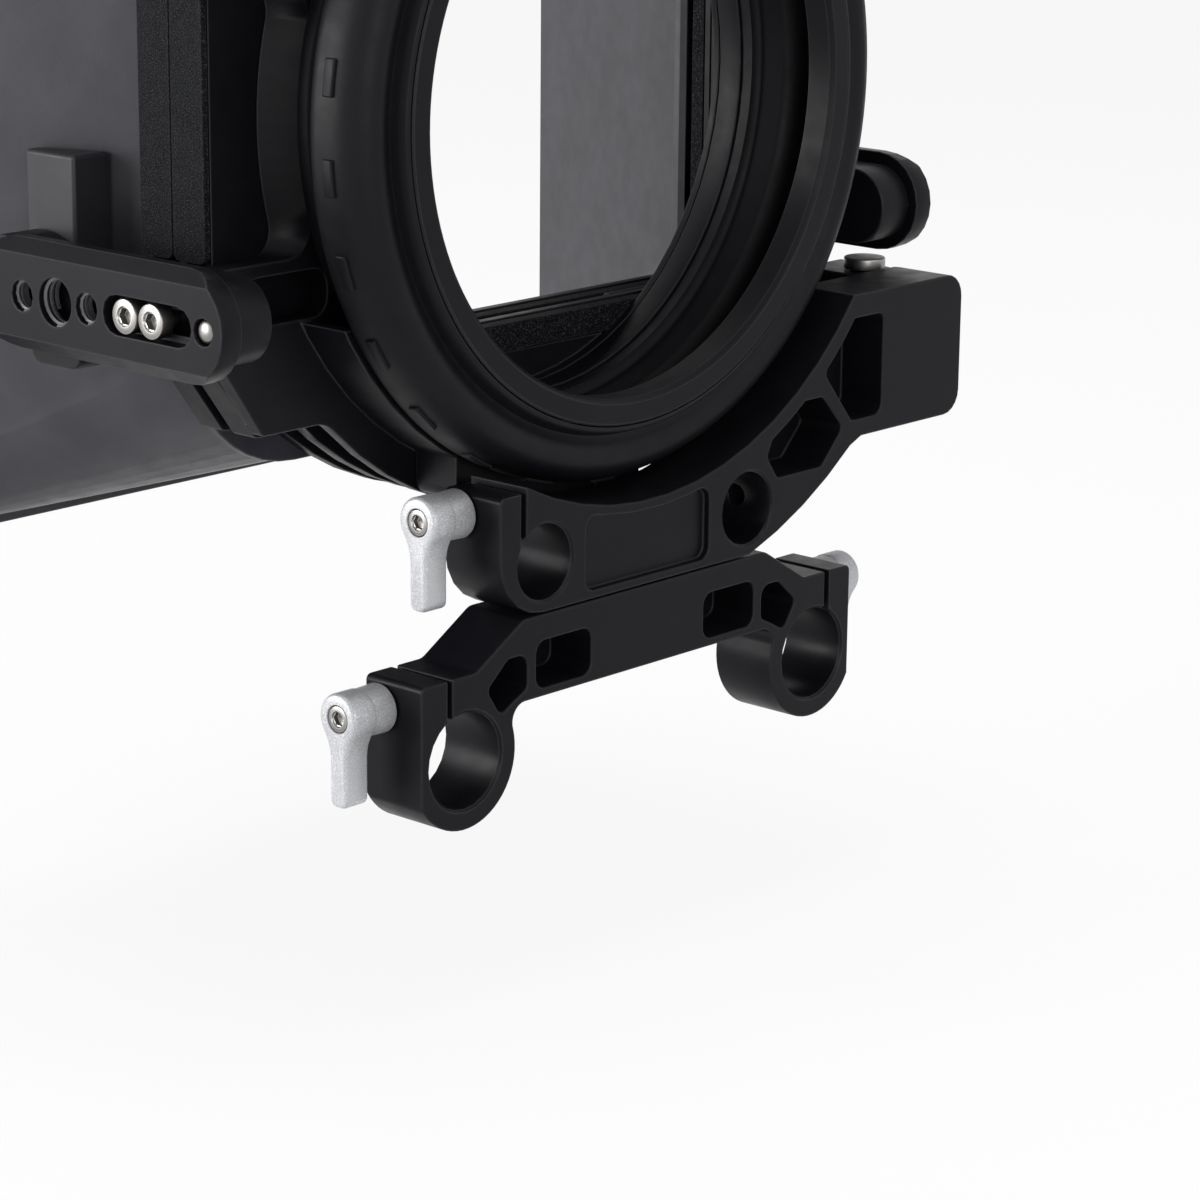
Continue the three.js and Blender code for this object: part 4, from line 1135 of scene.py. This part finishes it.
@dataclass
class ClampLever(SubAssembly):
    """A cast lever with the screw that holds it on its stud."""

    name: str = ""
    side: Side = Side.LEFT
    stud: tuple[float, float, float] = (0.0, 0.0, 0.0)
    length: float = 11.1
    seat: float = 4.85
    neck: float = 4.68
    neck_gap: float = 0.3
    bore: float = 1.8
    sink: float = 3.0
    sink_radius: float = 2.75
    sink_chamfer: float = 0.15
    head_radius: float = 4.9
    head_steps: int = 26
    thickness: float = 5.8
    arm_half: float = 2.2
    arm_reach: float = 17.5
    arm_steps: int = 6
    shoulder_turn: float = -35.0
    shoulder: tuple[float, float] = (-5.4, -8.6)
    shoulder_steps: int = 8
    tip_round: float = 1.6
    tip_steps: int = 7
    seat_round: Profile = ((0.0, 0.3), (0.1, 0.1), (0.35, 0.0))
    back_round: Profile = ((0.0, 0.2), (0.12, 0.08), (0.45, 0.0))
    face_round: Profile = ((0.9, 0.0), (0.5, 0.1), (0.18, 0.35), (0.0, 0.75))
    head_in: float = 8.4
    screw: SocketScrew = SocketScrew(5.2, 2.6, 3.0, 23.4, 2.5, 1.4)

    def outline(self) -> Profile:
        """The handle seen along its stud: a round head with an arm below it.

        Returns:
            The points in order round it.
        """
        half = arc(self.head_radius, 90, self.shoulder_turn, self.head_steps)
        start, bend, end = half[-1], *((self.arm_half, height) for height in self.shoulder)
        for step in range(1, self.shoulder_steps + 1):
            t = step / self.shoulder_steps
            half.append(tuple(
                a * (1 - t) ** 2 + 2 * b * t * (1 - t) + c * t ** 2
                for a, b, c in zip(start, bend, end)
            ))
        low = self.tip_round - self.arm_reach
        half += [
            (self.arm_half, end[1] + (low - end[1]) * step / self.arm_steps)
            for step in range(1, self.arm_steps)
        ]
        half += arc(self.tip_round, 0, -90, self.tip_steps, self.arm_half - self.tip_round, low)
        return half + [(-y, z) for y, z in reversed(half[1:])]

    @staticmethod
    def inset(outline: Profile, width: float) -> Profile:
        """The outline moved inwards by a width.

        Args:
            outline: The outline.
            width: The width in millimetres.

        Returns:
            The moved points.
        """
        moved = []
        for i, (y, z) in enumerate(outline):
            before, after = outline[i - 1], outline[(i + 1) % len(outline)]
            dy, dz = after[0] - before[0], after[1] - before[1]
            reach = math.hypot(dy, dz)
            moved.append((y + width * dz / reach, z - width * dy / reach))
        return moved

    def handle(self) -> Piece:
        """The handle, from its bore out over the hub, the arm and the face, and back.

        Returns:
            The handle.
        """
        outline = self.outline()
        turns = [math.atan2(z, y) for y, z in outline]

        def ring(radius: float) -> Profile:
            """A round loop with its points where the outline has its own."""
            return [(radius * math.cos(turn), radius * math.sin(turn)) for turn in turns]

        back, face, floor = self.length - self.thickness, self.length, self.length - self.sink
        sections = [
            (0, ring(self.bore)), *((x, ring(self.seat - less)) for x, less in self.seat_round),
            (back - self.neck_gap, ring(self.neck)),
            *((back + x, self.inset(outline, less)) for x, less in self.back_round),
            *((face - x, self.inset(outline, less)) for x, less in self.face_round),
            (face, ring(self.sink_radius + self.sink_chamfer)),
            (face - self.sink_chamfer, ring(self.sink_radius)),
            (floor, ring(self.sink_radius)), (floor, ring(self.bore)),
        ]
        sign = self.side.value
        loops = [
            [(Vector(self.stud) + Vector((sign * x, y, z))) * MM for y, z in section]
            for x, section in sections
        ]
        skin = self.shop.rings(f"cast_{self.name}", loops, closed=True)
        return self.shop.applied(skin, smooth=35)

    def build(self) -> None:
        """Makes the handle and its screw."""
        self.shop.place(self.handle(), Palette.cast, f"{self.name}_handle")
        sign = self.side.value
        place = Vector(self.stud) + Vector((sign * self.head_in, 0, 0))
        screw = self.screw.make(self.shop, f"{self.name}_cap_screw", Axis.X, place, sign)
        self.shop.place(screw, Palette.steel, f"{self.name}_screw")


@dataclass
class SwingHinge(SubAssembly):
    """The pin and washers that the front swings on."""

    milled = (
        Milled("hinge_pin", "turned_hinge_pin", Palette.steel, 0.3),
        Milled("hinge_washer_lower", "turned_washer_lower", Palette.steel, 0.15),
        Milled("hinge_washer_upper", "turned_washer_upper", Palette.steel, 0.15),
    )


@dataclass
class RearFrame(SubAssembly):
    """The frame behind the filter stages, with its round collar and bevelled pockets."""

    milled = (Milled("rear_frame", "milled_rear_frame", Palette.deep_anodised, 0.28),)


@dataclass
class LensCollar(SubAssembly):
    """The hard ring and the rubber bellows behind the frame, with its moulded tabs."""

    axis_height: float = 120.0
    sides: int = 144
    tabs: int = 26
    first_tab: float = 15.1
    tab_radius: float = 75.0
    tab_place: float = 12.2
    tab_size: tuple[float, float, float] = (7.0, 2.4, 1.5)
    tab_edge: float = 0.3
    ring: Profile = (
        (57.6, 3.8), (58.2, 3.05), (58.6, 2.8), (62.5, 2.8), (62.8, 3.1), (62.8, 9.2), (62.6, 9.4),
        (57.9, 9.4), (57.6, 9.1),
    )
    bulge: Profile = (
        (63.1, 3.2), (63.7, 3.2), (64.2, 3.6), (64.6, 5.2), (65.2, 6.4), (66.0, 6.3), (66.8, 5.7),
        (68.2, 4.9), (70.0, 4.6), (71.8, 5.3), (73.2, 6.8), (74.3, 8.5), (75.0, 10.5), (75.3, 12.8),
        (75.4, 15.0), (75.3, 16.2), (74.9, 16.9), (74.0, 17.3), (72.8, 17.55),
    )
    neck: Profile = (
        (70.3, 18.2), (68.0, 19.3), (66.0, 20.2), (65.0, 21.6), (65.0, 25.6), (65.2, 26.1),
        (66.3, 26.5), (66.5, 26.9), (66.5, 29.2), (60.6, 29.2), (60.6, 26.8), (62.3, 26.3),
        (62.7, 25.6), (62.7, 20.4), (63.3, 19.4), (67.0, 17.2),
    )
    inside: Profile = (
        (71.2, 16.1), (72.3, 14.2), (72.6, 11.5), (72.0, 9.6), (71.2, 8.4), (69.3, 7.2),
        (66.8, 8.4), (64.6, 9.3), (63.1, 8.6),
    )

    @property
    def centre(self) -> Vector:
        """The optical axis at the frame's origin plane."""
        return Vector((0, 0, self.axis_height))

    def build(self) -> None:
        """Makes the ring, the bellows and the tabs."""
        shop = self.shop
        ring = Turned("turned_lens_ring", self.ring, Axis.Y, self.centre, self.sides, closed=True)
        shop.place(ring.make(shop), Palette.anodised, "lens_ring")
        bellows = Turned("moulded_bellows", (*self.bulge, *self.neck, *self.inside), Axis.Y,
                         self.centre, self.sides, closed=True)
        shop.place(bellows.make(shop, smooth=50), Palette.rubber, "bellows")
        self.build_tabs()

    def build_tabs(self) -> None:
        """Makes the moulded tabs round the bellows."""
        mesh = bmesh.new()
        bmesh.ops.create_cube(
            mesh, size=1, matrix=Matrix.Diagonal((*(Vector(self.tab_size) * MM), 1))
        )
        bmesh.ops.translate(
            mesh, vec=Vector((0, self.tab_place, -self.tab_radius)) * MM, verts=mesh.verts
        )
        bmesh.ops.bevel(mesh, geom=mesh.edges[:], offset=self.tab_edge * MM, segments=3,
                        profile=0.5, affect="EDGES")
        tabs = self.shop.from_bmesh("bellows_tabs", mesh)
        self.recipes.ring.run(
            tabs, self.shop, SMOOTH, Count=self.tabs, First=math.radians(self.first_tab),
            Centre=self.centre * MM,
        )
        self.shop.place(tabs, Palette.rubber, body="swing_front")


@dataclass
class SwingLatch(SubAssembly):
    """The block below the ring, with its locating pin and release button."""

    milled = (
        Milled("latch_block", "milled_latch_block", Palette.deep_anodised, 0.2),
        Milled("latch_button", "latch_thumb_button", Palette.deep_anodised, 0.3),
        Milled("locating_pin", "turned_locating_pin", Palette.steel, 0.3),
    )


@dataclass
class FilterStages(SubAssembly):
    """The two filter stages with their trays and textured side strips."""

    edge: float = 0.2
    rib_count: int = 4
    rib_step: float = 1.6
    rib_low: float = 179.2
    rib_half: float = 13.0
    rib_radius: float = 0.45
    rib_round: float = 0.2
    rib_end: float = 0.3

    def build(self) -> None:
        """Makes both stages."""
        for order in ("rear", "front"):
            for node, name, finish in (
                    ("stage", f"milled_{order}_stage", Palette.deep_anodised),
                    ("tray", f"{order}_filter_tray", Palette.textured),
                    ("stage_strip_left", f"{order}_texture_strip_left", Palette.textured),
                    ("stage_strip_right", f"{order}_texture_strip_right", Palette.textured)):
                self.shop.mill(Milled(f"{order}_{node}", name, finish, self.edge))
            self.build_grip(order)

    def build_grip(self, order: str) -> None:
        """Makes the ribs on a tray's pull tab.

        Args:
            order: Which stage it is, rear or front.
        """
        low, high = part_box(f"{order}_tray")
        rib = Turned(f"{order}_tray_grip", [
            (self.rib_radius - self.rib_round, -self.rib_half),
            (self.rib_radius, self.rib_end - self.rib_half),
            (self.rib_radius, self.rib_half - self.rib_end),
            (self.rib_radius - self.rib_round, self.rib_half),
        ], Axis.X, Vector((0, low.y / MM, self.rib_low)), sides=16)
        ribs = self.recipes.row.run(
            rib.make(self.shop, SMOOTH), self.shop, SMOOTH, Count=self.rib_count,
            Step=(0, 0, self.rib_step * MM),
        )
        self.shop.place(ribs, Palette.textured, body=f"{order}_tray")


@dataclass
class Hood(SubAssembly):
    """The flared hood and the blocks on its sides."""

    milled = (
        Milled("hood", "moulded_hood", Palette.hood, 0.4),
        Milled("hood_block_left", "milled_hood_block_left", Palette.satin, 0.8),
        Milled("hood_block_right", "milled_hood_block_right", Palette.satin, 0.8),
    )


@dataclass
class SideRail(SubAssembly):
    """A side rail with its slotted accessory bar, screws, threads and pin."""

    side: Side = Side.LEFT
    rail_edge: float = 0.4
    bar_edge: float = 0.2
    bar_outer: float = 102.5
    bar_inner: float = 97.5
    bar_height: float = 87.7
    screw_rear: float = 30.0
    screw_step: float = 7.1
    screw_seat: float = 99.6
    screw: SocketScrew = SocketScrew(6.6, 3.0, 4.0, 8.4, 3.0, 1.8)
    holes: tuple[tuple[float, float, float], ...] = (
        (47.6, 3.0, 1.0), (56.4, 4.6, 1.27), (65.8, 3.0, 1.0),
    )
    ridge: float = 0.5
    thread_in: float = 0.7
    dome: float = 1.1
    dome_steps: int = 10
    dome_turn: float = 80.0
    pin_chamfer: float = 0.2
    pin_clear: float = 0.02

    def build(self) -> None:
        """Makes the rail, the bar and what is in it."""
        word, sign = self.side.word, self.side.value
        for node, name, finish, edge in (
                ("side_rail", "milled_rail", Palette.deep_anodised, self.rail_edge),
                ("accessory_bar", "milled_bar", Palette.anodised, self.bar_edge)):
            self.shop.mill(Milled(f"{node}_{word}", f"{name}_{word}", finish, edge))
        self.build_pin()
        self.screw_pair(
            self.screw, f"bar_screws_{word}", Axis.X,
            Vector((sign * self.screw_seat, self.screw_rear, self.bar_height)), sign,
            Vector((0, self.screw_step, 0)), (f"bar_screw_{word}_rear", f"bar_screw_{word}_front"),
        )
        self.build_threads()

    def build_pin(self) -> None:
        """Makes the domed pin at the bar's rear end."""
        node = f"bar_pin_{self.side.word}"
        low, high = (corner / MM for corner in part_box(node))
        centre, radius = (low + high) / 2, (high.z - low.z) / 2 - self.pin_clear
        length, out = (high.x - low.x) / 2 - self.pin_clear, self.side.value
        profile = [
            (radius - self.pin_chamfer, -length), (radius, self.pin_chamfer - length),
            *((radius * across, length - self.dome * (1 - up))
              for across, up in arc(1, 0, self.dome_turn, self.dome_steps)),
        ]
        pin = Turned(f"turned_{node}", [(r, out * x) for r, x in profile], Axis.X, centre,
                     sides=32)
        self.shop.place(pin.make(self.shop), Palette.steel, node)

    def build_threads(self) -> None:
        """Makes the thread ridges in the bar's three holes."""
        shop, word, sign = self.shop, self.side.word, self.side.value
        depth = self.bar_outer - self.bar_inner - 2 * self.thread_in
        start = min(sign * (self.bar_inner + self.thread_in),
                    sign * (self.bar_outer - self.thread_in))
        ridges = [
            self.recipes.thread.run(
                shop.from_bmesh("ridge", bmesh.new()), shop, SMOOTH, Radius=radius * MM,
                Pitch=pitch * MM, Depth=depth * MM, Ridge=self.ridge * MM,
                Centre=Vector((start, place, self.bar_height)) * MM,
            ) for place, radius, pitch in self.holes
        ]
        threads = shop.joined(f"bar_threads_{word}", ridges)
        shop.place(threads, Palette.threads, body=f"bar_{word}")


# Studio


@dataclass
class Studio:
    """The camera, the lamps, the pale floor and the world."""

    camera_place: tuple[float, float, float] = (-0.5499, -0.4836, 0.2209)
    yaw: float = 47.91
    pitch: float = 15.23
    roll: float = 0.54
    lens: float = 114.87
    sensor: float = 36.0
    clip: tuple[float, float] = (0.01, 50.0)
    floor_height: float = -0.05
    floor_size: float = 6.0
    floor_glow: float = 0.85
    floor_cloud: float = 0.6
    floor_colours: tuple[Colour, Colour] = ((0.86, 0.86, 0.87), (0.9, 0.9, 0.905))
    floor_roughness: float = 0.7
    floor_specular: float = 0.2
    world_strength: float = 0.42
    target: tuple[float, float, float] = (0.0, 0.05, 0.08)
    lamps: tuple[tuple[str, tuple[float, float, float], float, float], ...] = (
        ("overhead_soft_lamp", (0.1, 0.2, 1.1), 0.7, 5.0),
        ("left_soft_lamp", (-1.15, 0.8, 0.3), 0.8, 22.0),
        ("rear_soft_lamp", (0.2, -1.3, 0.6), 0.7, 3.0),
        ("rear_left_soft_lamp", (-0.75, -1.25, 0.35), 0.7, 6.0),
    )

    def build(self) -> None:
        """Makes the camera, the floor, the world and the lamps."""
        self.build_camera()
        self.build_floor()
        self.build_world()
        for name, place, size, power in self.lamps:
            self.lamp(name, place, size, power)

    def build_camera(self) -> None:
        """Sets the camera at the photograph's viewing angle."""
        yaw, pitch, roll = (math.radians(a) for a in (self.yaw, self.pitch, self.roll))
        ahead = Vector((
            math.sin(yaw) * math.cos(pitch), math.cos(yaw) * math.cos(pitch), -math.sin(pitch),
        ))
        level = Vector((math.cos(yaw), -math.sin(yaw), 0))
        rise = level.cross(ahead)
        right = math.cos(roll) * level + math.sin(roll) * rise
        up = -math.sin(roll) * level + math.cos(roll) * rise
        data = bpy.data.cameras.new("camera")
        data.lens = self.lens
        data.sensor_width = self.sensor
        data.clip_start, data.clip_end = self.clip
        camera = in_scene("camera", data)
        matrix = Matrix((right, up, -ahead)).transposed().to_4x4()
        matrix.translation = Vector(self.camera_place)
        camera.matrix_world = matrix
        bpy.context.scene.camera = camera

    def build_floor(self) -> None:
        """Lays a wide pale floor under the object."""
        mesh = bmesh.new()
        bmesh.ops.create_grid(mesh, x_segments=1, y_segments=1, size=self.floor_size)
        floor = Workshop.from_bmesh("floor", mesh)
        floor.location.z = self.floor_height
        shader = Shader("pale_floor")
        tone = shader.spread(shader.noise(self.floor_cloud), *Finish.smear_span, 0, 1)
        looks = {"Base Color": shader.mix(tone, *self.floor_colours),
                 "Roughness": self.floor_roughness, "Specular IOR Level": self.floor_specular}
        for socket, value in looks.items():
            shader.feed(shader.surface.inputs[socket], value)
        share = shader.spread(shader.seen(), 0, 1, 0, self.floor_glow)
        glow = shader.add("ShaderNodeEmission", Color=(1, 1, 1, 1), Strength=1.0)
        blend = shader.add("ShaderNodeMixShader", Fac=share)
        shader.feed(blend.inputs[1], shader.surface.outputs[0])
        shader.feed(blend.inputs[2], glow.outputs[0])
        shader.feed(shader.tree.nodes["Material Output"].inputs["Surface"], blend.outputs[0])
        floor.data.materials.append(shader.material)
        floor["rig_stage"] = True

    def build_world(self) -> None:
        """Makes an even soft sky, white where it is seen or mirrored."""
        world = bpy.data.worlds.new("white_studio")
        world.use_nodes = True
        sky = NodeTree(world.node_tree)
        strength = sky.add(
            "ShaderNodeMapRange", Value=sky.seen(), To_Min=self.world_strength, To_Max=1.0
        )
        background = sky.tree.nodes["Background"].inputs
        sky.feed(background["Color"], (1, 1, 1, 1))
        sky.feed(background["Strength"], strength.outputs["Result"])
        bpy.context.scene.world = world

    def lamp(self, name: str, place: tuple[float, float, float], size: float, power: float) -> None:
        """Hangs a soft square lamp that points at the target.

        Args:
            name: The lamp's name.
            place: Where it hangs.
            size: Its width.
            power: Its power in watts.
        """
        data = bpy.data.lights.new(name, "AREA")
        data.size = size
        data.energy = power
        lamp = in_scene(name, data)
        lamp.location = place
        aim = Vector(self.target) - Vector(place)
        lamp.rotation_euler = aim.to_track_quat("-Z", "Y").to_euler()


def corners() -> list[list[float]]:
    """The shown object's box as plain lists of numbers."""
    return [list(corner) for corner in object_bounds()]


def main() -> None:
    """Loads the frame, builds the studio and each sub-assembly."""
    logging.basicConfig(level=logging.INFO, format="%(message)s")
    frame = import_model()
    bpy.context.scene.view_settings.view_transform = "Standard"
    Studio().build()
    shop, recipes = Workshop(frame), Recipes()
    assemblies: list[SubAssembly] = [
        BridgeBracket(shop, recipes),
        ArcBracket(shop, recipes),
        ClampLever(shop, recipes, "lever_bridge_left", Side.LEFT, (-64.2, 11.0, 11.1)),
        ClampLever(shop, recipes, "lever_bridge_right", Side.RIGHT, (64.2, 11.0, 11.1)),
        ClampLever(shop, recipes, "lever_arc", Side.LEFT, (-42.9, 11.0, 45.1)),
        SwingHinge(shop, recipes),
        RearFrame(shop, recipes),
        LensCollar(shop, recipes),
        SwingLatch(shop, recipes),
        FilterStages(shop, recipes),
        Hood(shop, recipes),
        SideRail(shop, recipes, Side.LEFT),
        SideRail(shop, recipes, Side.RIGHT),
    ]
    for assembly in assemblies:
        assembly.build()


if __name__ == "__main__":
    main()
